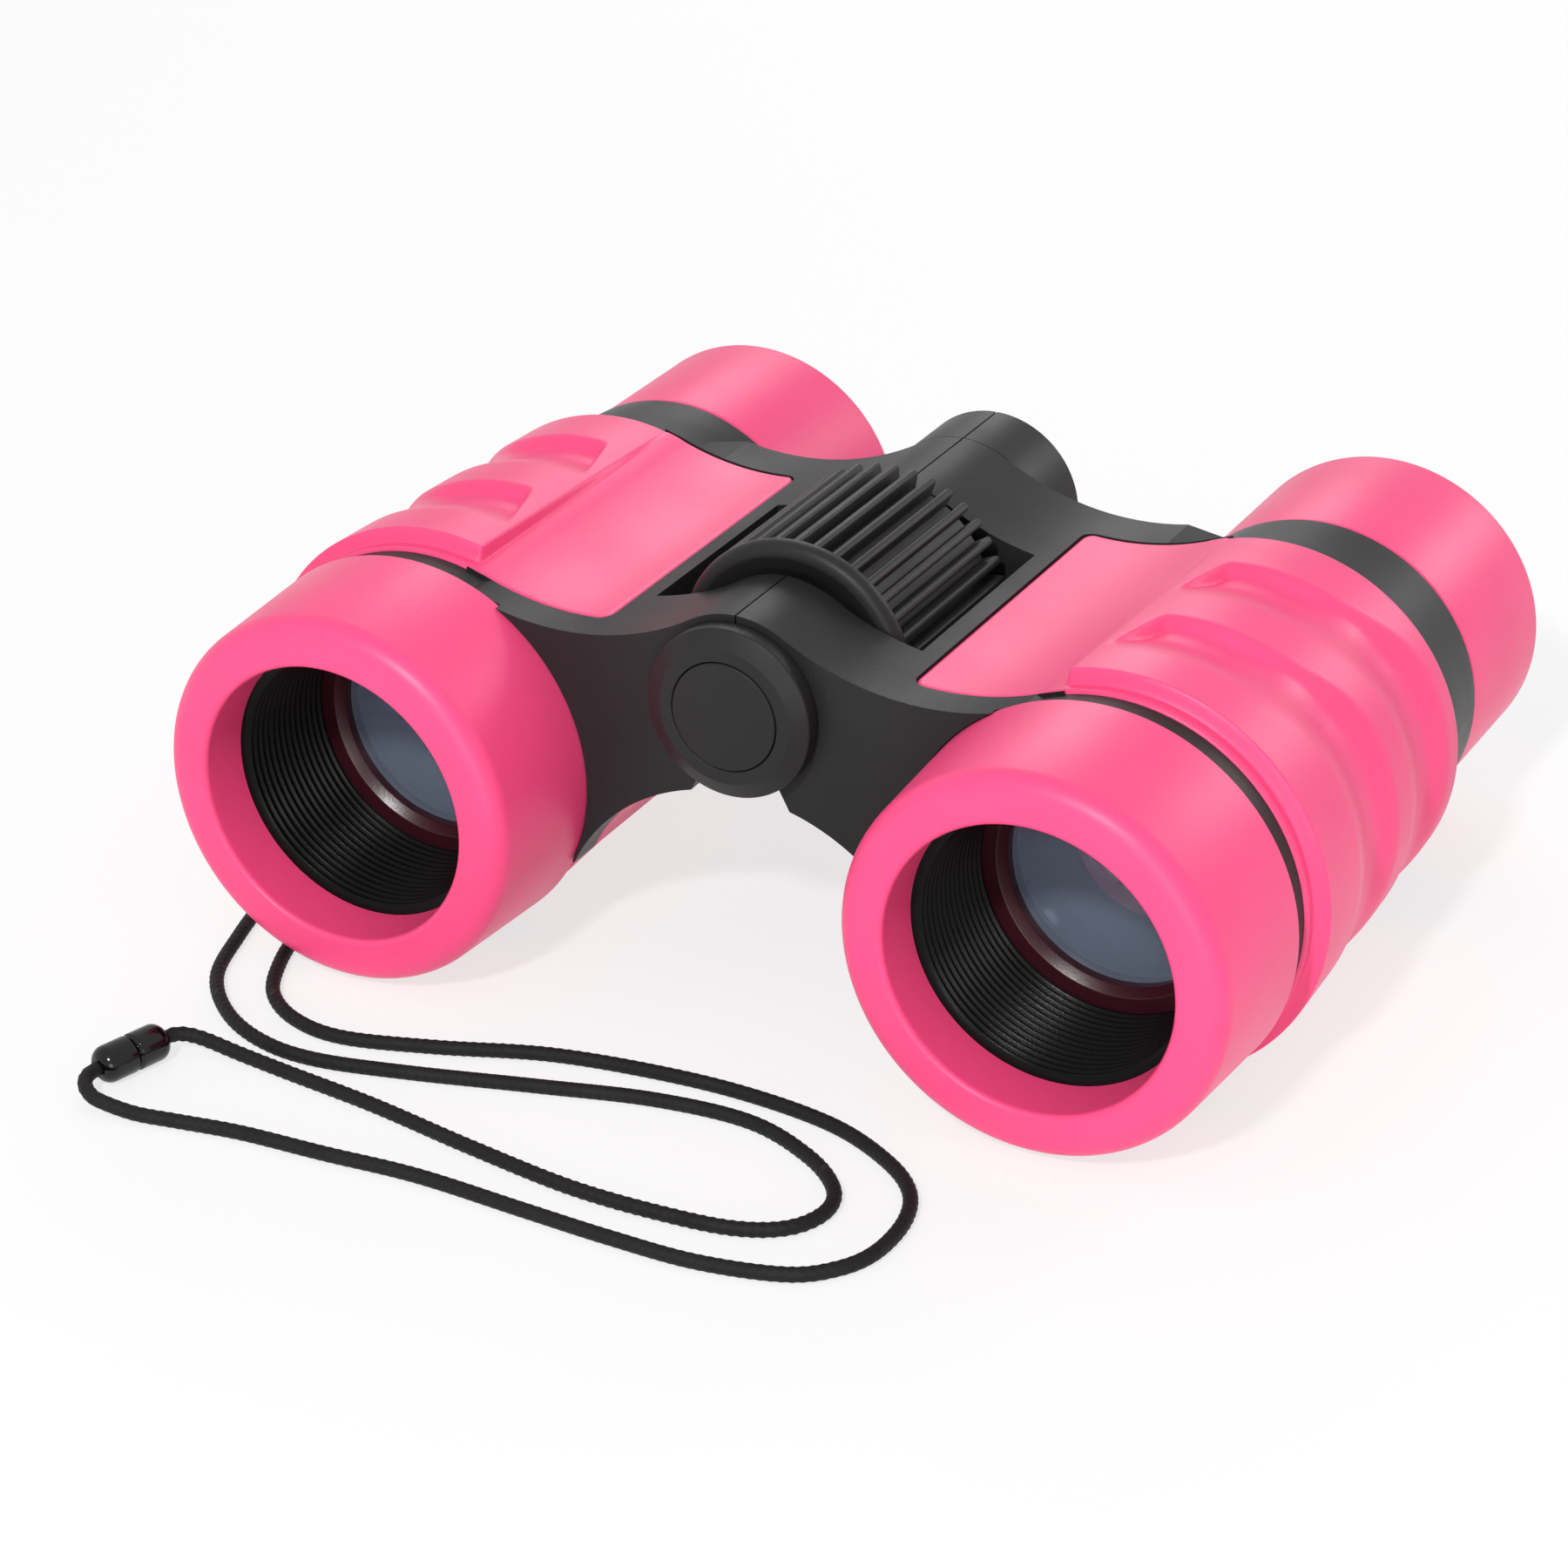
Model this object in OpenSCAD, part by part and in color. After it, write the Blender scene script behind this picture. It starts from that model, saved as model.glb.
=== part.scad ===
// Toy binoculars: two straight-through barrels on a folding hinge, with a centre focus wheel
// that slides both eyepieces, rubber grips and a breakaway cord.
// Millimetres. The origin is on the table under the middle of the object:
// +X towards the right barrel, +Y from the objectives to the eyecups, +Z up.

/* [Barrels] */
// Distance between the two barrel axes when the halves are opened flat
axis_spacing = 79.2; // [77:0.2:84]
// Radius of the front band, between the objective cup and the grip
band_r = 20.4; // [20:0.1:20.8]
// Width of the front band
band_w = 3.2; // [2.5:0.1:5]
// Wall of the casing
wall = 2; // [1.6:0.1:2.4]
// Radius of the rear band at the grip
rear_band_r0 = 19.1; // [18.8:0.1:19.6]
// Radius of the rear band at the eyecup
rear_band_r1 = 18; // [17.4:0.1:18.4]
// Width of the rear band
rear_band_w = 12.2; // [11:0.2:14]

/* [Bridge and hinge] */
// Height of the hinge axis above the barrel axes
hinge_height = 13; // [12.5:0.1:13.5]
// Radius of the hump over the hinge
hump_r = 10; // [9.8:0.1:10.5]
// Radius of the saddle between the hump and a barrel
saddle_r = 30.5; // [28:0.5:34]
// Radius of the arch under the bridge
arch_r = 22.5; // [21.5:0.5:24]
// How far the front plate stands ahead of the objective cup's rear edge
plate_lead = 1; // [0.6:0.1:1.6]
// Thickness of the front plate
plate_t = 2.2; // [1.8:0.1:2.6]
// Length of the bridge ahead of the wheel window
bridge_front_len = 10.8; // [10.4:0.1:13]
// Length of the bridge behind the wheel window
bridge_rear_len = 14.2; // [13.6:0.1:16]
// Length of the hump behind the bridge
hump_tail_len = 8.5; // [8:0.1:11]
// Turn of one half against the other, from flat to folded
fold_deg = 54; // [40:1:56]
// Radius of the hinge pin
pin_r = 2.5; // [2:0.1:3]
// Radius of the hinge knuckles
knuckle_r = 6.2; // [5.6:0.1:6.6]

/* [Hinge caps] */
// Radius of the hinge caps
cap_r = 9.3; // [8.6:0.1:9.6]
// Thickness of the front hinge cap
cap_t = 3; // [2.6:0.1:4]
// Width of the bevel round the front cap
cap_bevel = 1.9; // [1:0.1:2.4]
// Radius of the inset disc in the front cap
cap_disc_r = 5.9; // [5:0.1:6.4]
// Thickness of the rear hinge cap
rear_cap_t = 1.6; // [1.2:0.1:2.4]

/* [Focus] */
// Radius over the ribs of the focus wheel
wheel_r = 13.15; // [12.4:0.05:13.6]
// Length of the focus wheel
wheel_len = 24; // [20:0.5:28]
// Gap ahead of the wheel
wheel_front_gap = 0.6; // [0.4:0.1:1.5]
// Gap behind the wheel
wheel_rear_gap = 1.9; // [0.6:0.1:2.5]
// Gap beside the wheel, in the window
wheel_side_gap = 2.25; // [1:0.05:2.6]
// Ribs round the wheel
rib_count = 36; // [24:1:44]
// Thickness of one rib
rib_t = 0.8; // [0.6:0.05:1]
// Height of a rib above the drum
rib_h = 1.8; // [1.2:0.1:2.2]
// Travel of the eyepieces
focus_travel = 6; // [4:0.2:6.4]
// Radius of the threaded spigot behind the wheel
spigot_r = 4.6; // [4:0.1:4.8]
// Width of a focus arm
arm_w = 6; // [4:0.2:7]

/* [Objectives] */
// Radius of the objective cup at the front
cup_r0 = 20.5; // [20:0.1:20.9]
// Radius of the objective cup at its rear edge
cup_r1 = 21.3; // [21:0.1:22]
// Length of the objective cup
cup_len = 17; // [16:0.2:19]
// Rounding of the cup's front edge
cup_round = 3.4; // [2:0.1:4]
// Radius of the opening in the cup
opening_r = 15.4; // [15.2:0.1:16]
// Depth of the opening, down to the baffle tube
opening_depth = 6.5; // [5:0.1:8]
// Outer radius of the baffle tube
baffle_r = 16.4; // [16.2:0.1:16.8]
// Radius over the crests of the baffle ridges
baffle_crest_r = 14.3; // [13.6:0.1:14.4]
// Ridges along the baffle tube
baffle_ridges = 14; // [8:1:18]
// Radius of the objective lens
lens_r = 14.6; // [14.4:0.1:15]
// Thickness of the objective lens at its edge
lens_edge = 3; // [2:0.1:3.6]
// Bulge of each face of the objective lens
lens_bulge = 1.3; // [0.6:0.1:1.5]
// Inner radius of the lens retaining ring
lens_ring_r = 12; // [11:0.1:12.4]
// Thickness of the lens retaining ring
lens_ring_t = 1.9; // [1.6:0.1:2.6]

/* [Grips] */
// Radius of the grip sleeve at the front
sleeve_r0 = 20.8; // [20.6:0.1:21.1]
// Radius of the grip sleeve at the rear
sleeve_r1 = 19.3; // [19.2:0.1:20]
// Thickness of the grip sleeve
sleeve_t = 1.6; // [1.2:0.1:1.8]
// Length of the grip sleeve
sleeve_len = 41.8; // [40:0.2:46]
// Width of the dark rim between the wheel window and the grip panel
panel_rim = 2; // [1.6:0.1:2.6]
// Rounding of the grip panel's corners beside the wheel
panel_corner_r = 1.6; // [0.8:0.1:3]
// Radius of the raised pad at the front
pad_r0 = 22.3; // [21.8:0.1:22.8]
// Radius of the raised pad at the rear
pad_r1 = 20.7; // [20.5:0.1:21.4]
// Margin of the sleeve ahead of the raised pad
pad_lead = 1.8; // [1:0.1:4]
// Margin of the sleeve behind the raised pad
pad_tail = 0.8; // [0.5:0.1:4]
// Where the pad starts, up and inwards from the outer side
pad_inner_deg = 106; // [104:1:112]
// Where the pad stops, down from the outer side
pad_outer_deg = 62; // [50:1:64]
// Finger grooves across a pad
groove_count = 2; // [2:1:3]
// Distance between two finger grooves
groove_pitch = 16; // [9:0.2:16.4]
// Distance of the first groove from the pad's front
groove_start = 12.6; // [6:0.2:13]
// Width of a finger groove
groove_w = 7.6; // [5:0.2:8.6]
// Depth of a finger groove
groove_d = 1.2; // [0.6:0.1:1.4]

/* [Eyepieces] */
// Outer radius of the eyecup
eyecup_r = 17.8; // [17.4:0.1:18.4]
// Length of the eyecup
eyecup_len = 20.8; // [19:0.2:24]
// Rounding of the eyecup's rim
eyecup_round = 1.2; // [0.6:0.1:1.6]
// Radius of the eyecup's mouth
mouth_r = 14.2; // [13:0.1:15]
// Depth of the eyecup's mouth
mouth_depth = 6.8; // [5:0.2:9]
// Outer radius of the ocular tube
ocular_r = 15; // [14.6:0.1:15.2]
// Wall of the ocular tube
ocular_wall = 1.6; // [1.2:0.1:2]
// Radius of the ocular lens
ocular_lens_r = 11; // [9:0.1:12]
// Thickness of the ocular lens at its edge
ocular_lens_edge = 3; // [2.4:0.1:4]
// Hollow of each face of the ocular lens
ocular_hollow = 0.8; // [0.4:0.1:1]
// Thickness of the ocular lens ring
ocular_ring_t = 1.8; // [1.2:0.1:3]
// Width of the ocular lens ring
ocular_ring_w = 1.8; // [1:0.1:2.4]

/* [Cord] */
// Diameter of the cord
cord_d = 1.6; // [1.2:0.1:1.8]
// Radius of the breakaway bead
bead_r = 2; // [1.6:0.1:2.2]
// Length of the breakaway bead
bead_len = 8.4; // [7:0.1:9]
// Radius of the bar in the strap lug
lug_bar_r = 0.8; // [0.6:0.05:0.9]
// Length of the bar in the strap lug
lug_bar_len = 4.6; // [4.4:0.1:5.5]
// Thickness of one ear of the strap lug
lug_ear_t = 1.4; // [1:0.1:2]

/* [Fits] */
// Gap at the seam between the two halves, on each side of the middle
seam_gap = 0.1; // [0.08:0.01:0.2]
// Gap between fixed pieces that lie side by side
trim_gap = 0.1; // [0.05:0.01:0.2]
// Radial clearance of turning and sliding fits
run_clear = 0.06; // [0.03:0.01:0.1]
// Gap between moving pieces that pass each other
move_gap = 0.3; // [0.2:0.05:0.5]

/* [Hidden] */
$fn = 96;
lens_fn = 720;
eps = 0.05;
cut = 1;
far = 200;

pink = [1, 0.33, 0.53];
charcoal = [0.22, 0.22, 0.23];
black = [0.09, 0.09, 0.1];
maroon = [0.22, 0.08, 0.11];
glass = [0.45, 0.55, 0.65];
steel = [0.75, 0.76, 0.78];

half_spacing = axis_spacing / 2;
barrel_c = [half_spacing, 0];
hinge_c = [0, hinge_height];
rest_h = cup_r1;

// The rear of a barrel and the eyecup keep their walls round a larger ocular tube
barrel_wall_min = 2.4;
eyecup_wall_min = 2.6;
rear_grow = max(0, ocular_r + run_clear + barrel_wall_min + sleeve_t - sleeve_r1);
grip_r1 = sleeve_r1 + rear_grow;
pad_end_r = pad_r1 + rear_grow;
tail_r0 = rear_band_r0 + rear_grow;
tail_r1 = rear_band_r1 + rear_grow;
eyecup_out_r = max(eyecup_r, ocular_r + eyecup_wall_min);

// Stations along the barrels, measured back from the objective rims
sleeve_y0 = cup_len + band_w;
sleeve_y1 = sleeve_y0 + sleeve_len;
barrel_y1 = sleeve_y1 + rear_band_w - move_gap;
eyecup_y0 = sleeve_y1 + rear_band_w;
body_len = eyecup_y0 + eyecup_len;
plate_y = cup_len - plate_lead;
pocket_setback = 0.4;
pocket_y0 = sleeve_y0 + pocket_setback;
lens_y0 = pocket_y0 + lens_ring_t;
lens_y1 = lens_y0 + lens_edge;
shoulder_t = 2;
pad_y0 = sleeve_y0 + pad_lead;
pad_y1 = sleeve_y1 - pad_tail;
groove_outer_deg = 70;
groove_inner_deg = 5;
saddle_end_deg = pad_inner_deg - 1;
core_end_deg = pad_inner_deg + 2;

// Stations along the hinge
window_y0 = plate_y + bridge_front_len;
wheel_y0 = window_y0 + wheel_front_gap;
wheel_y1 = wheel_y0 + wheel_len;
window_y1 = wheel_y1 + wheel_rear_gap;
window_half = wheel_r + wheel_side_gap;
panel_x = window_half + panel_rim;
partition_t = 1.6;
front_bay_y0 = plate_y + plate_t;
front_bay_y1 = window_y0 - partition_t;
deck_y1 = window_y1 + bridge_rear_len;
bay_y0 = window_y1 + partition_t;
bulkhead_t = 1;
hatch_rim = 1;
bay_y1 = deck_y1 - bulkhead_t;
hump_y1 = deck_y1 + hump_tail_len;
tail_wall = 1.6;
tail_y1 = hump_y1 - tail_wall;
knuckle_front_len = (front_bay_y1 - front_bay_y0 - 2 * move_gap) / 2;
knuckle_rear_len = (tail_y1 - deck_y1 - 2 * move_gap) / 2;
web_r = knuckle_r + move_gap;
screw_r = 0.45 * pin_r;
screw_len = 6;
screw_head_rim = 1.2;
screw_head_r = pin_r + screw_head_rim;
screw_head_t = 1.6;
screw_slot_w = 0.8;
screw_slot_d = 0.6;
cap_disc_t = 1;
cap_disc_proud = 0.1;
cap_hole_clear = 1;
cap_hole_r = knuckle_r + cap_hole_clear;

// Stations of the focus drive
guide_lead = 3;
guide_y0 = bay_y0 - guide_lead;
ocular_y0 = bay_y0;
ocular_y1 = body_len - mouth_depth;
carriage_y0 = bay_y0 + move_gap;
carriage_len = bay_y1 - bay_y0 - focus_travel - 2 * move_gap;
carriage_flange_t = 1;
arm_gap = 0.1;
arm_t = (carriage_len - carriage_flange_t - 2 * arm_gap) / 2;
hub_wall = 1.4;
carriage_hub_r = spigot_r + hub_wall;
flange_clear = 0.6;
carriage_flange_r = hump_r - wall - flange_clear;
spigot_y1 = bay_y1 - move_gap;
arm_deg = atan2(-hinge_height, half_spacing);
arm_reach = norm([half_spacing, hinge_height]);

// Saddle and arch circles of the bridge
arch_c = [0, hinge_height - hump_r - arch_r];
saddle_c = tangent_centre(hinge_c, saddle_r + hump_r, barrel_c, saddle_r + sleeve_r0);
core_r0 = sleeve_r0 - sleeve_t;
core_r1 = grip_r1 - sleeve_t;
hollow_r = core_r0;
wedge_clear_deg = 0.6;
wedge_deg = fold_deg / 2 + wedge_clear_deg;

// Each cord's route runs from the strap lug to the bead, in the part's frame. It lies on the table,
// and rises a little to the rear, because the barrels rock back until the eyecups touch
cord_z = cord_d / 2;
lug_setback = 2;
lug_y = sleeve_y1 + rear_band_w / 2 + lug_setback;
lug_stand = 3.4;
lug_x = -half_spacing - tail_r1 - lug_stand;
lug_ear_h = 2.4;
hitch_gap = 0.1;
hitch_r = lug_bar_r + cord_d / 2 + hitch_gap;
hitch_spread = 0.4;
hitch_pitch = cord_d + hitch_spread;
hang_drop = 0.6;
hang_y = lug_y - body_len / 2;
hang_z = rest_h - hitch_r - hang_drop;
bead_c = [-49.3, -71.5];
bead_dir = [0.29, 0.957];
bead_socket = 0.8;

cord_a_route = [
    [lug_x, hang_y - hitch_pitch / 2, hang_z], [-61.4, 21.2, 14], [-62.2, 20, 9], [-63, 17, 5],
    [-63, 12, 3], [-62, 4, 2.4],
    [-61, -5, 2], [-60, -15, 1.5], [-59, -25, 1.1], [-57.5, -34, 0.8], [-55, -44, 0.8],
    [-52, -52.5, 0.8], [-46.5, -58.5, 0.8], [-40, -61.8, 0.8], [-33, -62.5, 0.8], [-23, -60.5, 0.8],
    [-10, -57, 0.8], [2, -54, 0.8], [12.5, -53.5, 0.8], [20.5, -56.5, 0.8], [25.5, -60.5, 0.8],
    [27, -64.5, 0.8], [25.5, -68.5, 0.8], [21.5, -71, 0.8], [15, -72, 0.8], [3.5, -72, 0.8],
    [-9.5, -70, 0.8], [-22.5, -67.5, 0.8], [-33.5, -66, 0.8], [-40, -65.3, 1], [-45, -65.2, 1.6],
    [-47.2, -66.1, 2], [-48.2, -67.8, 2]
];
cord_b_route = [
    [lug_x, hang_y + hitch_pitch / 2, hang_z], [-61.2, 24, 14], [-61.2, 24, 9], [-60.4, 22.5, 5.2],
    [-59, 19.5, 3.3],
    [-57.5, 14, 2.9], [-56, 6, 2.5], [-54.5, -4, 2], [-53.5, -14, 1.6], [-52.5, -24, 1.1],
    [-51, -33, 0.8], [-49.5, -41, 0.8], [-47.5, -47.5, 0.8], [-44.5, -53, 0.8], [-39.5, -56.5, 0.8],
    [-33, -57.5, 0.8], [-23.5, -55, 0.8], [-12, -51, 0.8], [0, -49.2, 0.8], [10.5, -49, 0.8],
    [20.5, -50.5, 0.8], [28, -54, 0.8], [32.5, -58, 0.8], [34.5, -63, 0.8], [34.5, -69, 0.8],
    [32.5, -73.2, 0.8], [28.5, -76.2, 0.8], [20, -78, 0.8], [10.5, -78, 0.8], [1, -77.5, 0.8],
    [-11.5, -76.8, 0.8], [-22, -77.4, 0.8], [-31.5, -77.8, 0.8], [-38.5, -78.8, 0.8],
    [-43.2, -79.6, 0.9], [-47.3, -79.8, 1.4], [-48.8, -79.4, 1.7], [-50, -78.4, 1.9], [-50.6, -77, 2],
    [-50.45, -75.3, 2]
];

function unit(v) = v / norm(v);

// Centre of the circle at distance d1 from c1 and d2 from c2, on the upper side of the line c1 to c2
function tangent_centre(c1, d1, c2, d2) =
    let (v = c2 - c1, d = norm(v), a = (d1 * d1 - d2 * d2 + d * d) / (2 * d))
    let (h = sqrt(d1 * d1 - a * a))
    c1 + v * a / d + [-v[1], v[0]] * h / d;

// Point on a circle about the barrel axis
function on_barrel(r, deg) = barrel_c + r * [cos(deg), sin(deg)];

// Placing

// Puts a right-hand piece on the table, mirrored for the left half (side -1)
module half(side) {
    translate([0, -body_len / 2, rest_h]) mirror([side < 0 ? 1 : 0, 0, 0]) children();
}

// An outline in X and Z, drawn out along Y
module prism(y0, y1) {
    translate([0, y1, 0]) rotate([90, 0, 0]) linear_extrude(y1 - y0) children();
}

// An outline in radius and Y, turned about the Y axis
module turned() {
    rotate([-90, 0, 0]) rotate_extrude() children();
}

module at_barrel() {
    translate([half_spacing, 0, 0]) children();
}

module at_hinge() {
    translate([0, 0, hinge_height]) children();
}

module rod(r, y0, y1) {
    translate([0, y0, 0]) rotate([-90, 0, 0]) cylinder(r = r, h = y1 - y0);
}

module taper(r0, r1, y0, y1) {
    translate([0, y0, 0]) rotate([-90, 0, 0]) cylinder(r1 = r0, r2 = r1, h = y1 - y0);
}

// Outlines of the bridge, for the right half

// Hump, saddle and arch, down to a barrel of radius rb, with its skin taken off by inset
module bridge_2d(inset = 0, rb = sleeve_r0, end_deg = saddle_end_deg) {
    to_saddle = unit(saddle_c - barrel_c);
    to_arch = unit(arch_c - barrel_c);
    translate(hinge_c) circle(hump_r - inset);
    difference() {
        polygon([
            hinge_c,
            hinge_c + (hump_r - inset) * unit(saddle_c - hinge_c),
            barrel_c + (rb - inset) * to_saddle,
            on_barrel(rb - inset, end_deg),
            barrel_c,
            barrel_c + (rb - inset) * to_arch,
            arch_c - (arch_r + inset) * to_arch,
            arch_c
        ]);
        translate(saddle_c) circle(saddle_r + inset);
        translate(arch_c) circle(arch_r + inset);
    }
}

// What belongs to the right half: the seam is upright above the hinge axis, and below it leaves
// the wedge that the halves close into when they fold
module sector_2d() {
    polygon([
        [seam_gap, hinge_height + far],
        [seam_gap, hinge_height],
        [seam_gap + far * sin(wedge_deg), hinge_height - far * cos(wedge_deg)],
        [far, hinge_height - far],
        [far, hinge_height + far]
    ]);
}

module beyond_x(x) {
    translate([x, -far]) square([far, 2 * far]);
}

module barrel_circle(r) {
    translate(barrel_c) circle(r);
}

// The bridge under the grip panel: lowered by the sleeve's thickness, above and below
module bridge_core_2d() {
    difference() {
        bridge_2d(end_deg = core_end_deg);
        translate(saddle_c) circle(saddle_r + sleeve_t);
        translate(arch_c) circle(arch_r + sleeve_t);
    }
}

// Upright block over the grip panel, with rounded corners beside the wheel
module panel_block(gap) {
    x = panel_x + gap;
    r = panel_corner_r;
    translate([0, 0, -far]) linear_extrude(2 * far) {
        translate([x + r, sleeve_y0]) square([far, sleeve_len]);
        translate([x, sleeve_y0 + r]) square([far, sleeve_len - 2 * r]);
        for (y = [sleeve_y0 + r, sleeve_y1 - r]) {
            translate([x + r, y]) circle(r);
        }
    }
}

// Space inside the wing, between the hinge and the barrel tube
module wing_hollow_2d() {
    difference() {
        bridge_2d(wall + sleeve_t);
        barrel_circle(hollow_r);
    }
}

module bay_hollow_2d() {
    difference() {
        bridge_2d(wall);
        barrel_circle(hollow_r);
        beyond_x(panel_x - wall);
    }
    wing_hollow_2d();
}

// Chassis

module chassis_outside() {
    prism(plate_y, cup_len + eps) difference() {
        bridge_2d();
        barrel_circle(cup_r1 + trim_gap);
    }
    prism(cup_len, sleeve_y0) {
        bridge_2d(rb = band_r);
        barrel_circle(band_r);
    }
    prism(sleeve_y0 - eps, sleeve_y1 + eps) bridge_core_2d();
    difference() {
        prism(sleeve_y0 - eps, sleeve_y1 + eps) bridge_2d();
        panel_block(0);
    }
    at_barrel() taper(core_r0, core_r1, sleeve_y0 - eps, sleeve_y1 + eps);
    prism(sleeve_y1, deck_y1) bridge_2d(rb = tail_r1);
    at_barrel() taper(tail_r0, tail_r1, sleeve_y1, barrel_y1);
}

module barrel_bore() {
    at_barrel() turned() polygon([
        [0, plate_y - cut],
        [baffle_r, plate_y - cut],
        [baffle_r, pocket_y0],
        [lens_r, pocket_y0],
        [lens_r, lens_y1],
        [lens_ring_r, lens_y1],
        [lens_ring_r, lens_y1 + shoulder_t],
        [baffle_r, lens_y1 + shoulder_t],
        [baffle_r, guide_y0],
        [ocular_r + run_clear, guide_y0],
        [ocular_r + run_clear, body_len],
        [0, body_len]
    ]);
}

module wheel_window() {
    translate([-far, window_y0, -far]) cube([far + window_half, window_y1 - window_y0, 2 * far]);
}

module arm_slot() {
    prism(bay_y0, bay_y1) translate(hinge_c) rotate(arm_deg)
        translate([arm_reach - hollow_r - 2 * cut, -arm_w / 2 - move_gap])
            square([hollow_r, arm_w + 2 * move_gap]);
}

// Outline of the hatch under the rear bay, grown by a gap for the opening
module hatch_2d(gap = 0) {
    intersection() {
        translate(arch_c) difference() {
            circle(arch_r + wall + gap);
            circle(arch_r);
        }
        translate([panel_x / 2 - gap, arch_c[1]]) square([panel_x / 2 + 2 * gap, arch_r + 2 * wall]);
    }
}

// Own knuckle and the web that carries it, in a stretch of the hinge
module knuckle(web_y0, web_y1, ring_y0, ring_y1) {
    prism(web_y0, web_y1) intersection() {
        translate(hinge_c) difference() {
            circle(hump_r - wall + eps);
            circle(web_r);
        }
        sector_2d();
    }
    prism(ring_y0, ring_y1) intersection() {
        translate(hinge_c) circle(hump_r - wall + eps);
        sector_2d();
    }
    at_hinge() rod(knuckle_r, ring_y0, ring_y1);
}

module chassis(first_front, first_rear, bore_r) {
    front_y = first_front ? front_bay_y0 : front_bay_y1 - knuckle_front_len;
    rear_y = first_rear ? deck_y1 + move_gap : tail_y1 - knuckle_rear_len;
    difference() {
        union() {
            difference() {
                chassis_outside();
                barrel_bore();
                wheel_window();
                prism(front_bay_y0, front_bay_y1) bay_hollow_2d();
                prism(bay_y0, bay_y1) bay_hollow_2d();
                prism(front_bay_y0, bay_y1) intersection() {
                    wing_hollow_2d();
                    beyond_x(panel_x);
                }
                arm_slot();
                prism(bay_y0 + hatch_rim, bay_y1 - hatch_rim) hatch_2d(trim_gap);
                at_hinge() rod(cap_hole_r, plate_y - cut, front_bay_y0);
                at_hinge() rod(spigot_r + move_gap, front_bay_y1 - cut, bay_y0 + cut);
                at_hinge() rod(spigot_r + move_gap, bay_y1 - cut, deck_y1 + cut);
                prism(0, body_len) difference() {
                    translate([-far, -far]) square(2 * far);
                    sector_2d();
                }
            }
            knuckle(front_bay_y0, front_bay_y1, front_y, front_y + knuckle_front_len);
            knuckle(bay_y1, tail_y1, rear_y, rear_y + knuckle_rear_len);
        }
        at_hinge() rod(bore_r, plate_y, body_len);
    }
}

module left_chassis() {
    color(charcoal) half(-1) chassis(true, false, pin_r);
}

module right_chassis() {
    color(charcoal) half(1) chassis(false, true, pin_r + run_clear);
}

// Rear end of the hump: a half shell with an end wall
module rear_cover() {
    prism(deck_y1 + trim_gap, hump_y1) intersection() {
        translate(hinge_c) difference() {
            circle(hump_r);
            circle(hump_r - wall + trim_gap);
        }
        sector_2d();
    }
    prism(tail_y1 + trim_gap, hump_y1) intersection() {
        translate(hinge_c) difference() {
            circle(hump_r);
            circle(cap_hole_r);
        }
        sector_2d();
    }
}

module left_rear_cover() {
    color(charcoal) half(-1) rear_cover();
}

module right_rear_cover() {
    color(charcoal) half(1) rear_cover();
}

module bottom_cover() {
    prism(bay_y0 + hatch_rim + trim_gap, bay_y1 - hatch_rim - trim_gap) hatch_2d();
}

module left_bottom_cover() {
    color(charcoal) half(-1) bottom_cover();
}

module right_bottom_cover() {
    color(charcoal) half(1) bottom_cover();
}

// Grips

module pad_sector_2d(from_deg, to_deg) {
    translate(barrel_c) polygon([
        [0, 0],
        far * [cos(from_deg), sin(from_deg)],
        far * [cos((from_deg + to_deg) / 2), sin((from_deg + to_deg) / 2)],
        far * [cos(to_deg), sin(to_deg)]
    ]);
}

function pad_r(y) = pad_r0 + (pad_end_r - pad_r0) * (y - pad_y0) / (pad_y1 - pad_y0);

module finger_grooves() {
    round_r = groove_w * groove_w / (8 * groove_d) + groove_d / 2;
    intersection() {
        at_barrel() for (i = [0 : groove_count - 1]) {
            y = pad_y0 + groove_start + i * groove_pitch;
            turned() translate([pad_r(y) + round_r - groove_d, y]) circle(round_r);
        }
        prism(pad_y0 - cut, pad_y1 + cut)
            pad_sector_2d(groove_outer_deg - pad_outer_deg, pad_inner_deg - groove_inner_deg);
    }
}

module grip_sleeve() {
    difference() {
        union() {
            at_barrel() taper(sleeve_r0, grip_r1, sleeve_y0, sleeve_y1);
            intersection() {
                prism(sleeve_y0, sleeve_y1) bridge_2d();
                panel_block(trim_gap);
            }
            intersection() {
                at_barrel() taper(pad_r0, pad_end_r, pad_y0, pad_y1);
                prism(pad_y0, pad_y1) pad_sector_2d(-pad_outer_deg, pad_inner_deg);
            }
        }
        at_barrel() taper(core_r0, core_r1, sleeve_y0 - eps, sleeve_y1 + eps);
        prism(sleeve_y0 - cut, sleeve_y1 + cut) bridge_core_2d();
        finger_grooves();
    }
}

module left_grip_sleeve() {
    color(pink) half(-1) grip_sleeve();
}

module right_grip_sleeve() {
    color(pink) half(1) grip_sleeve();
}

// Objectives

module objective_cup() {
    lip = 0.8;
    at_barrel() turned() {
        polygon([
            [opening_r, lip],
            [opening_r + lip, 0],
            [cup_r0 - cup_round, 0],
            [cup_r0, cup_round],
            [cup_r1, cup_len],
            [baffle_r, cup_len],
            [baffle_r, opening_depth],
            [opening_r, opening_depth]
        ]);
        translate([opening_r + lip, lip]) circle(lip);
        translate([cup_r0 - cup_round, 0]) intersection() {
            translate([0, cup_round]) circle(cup_round);
            square(cup_round);
        }
    }
}

module left_objective_cup() {
    color(pink) half(-1) objective_cup();
}

module right_objective_cup() {
    color(pink) half(1) objective_cup();
}

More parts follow.
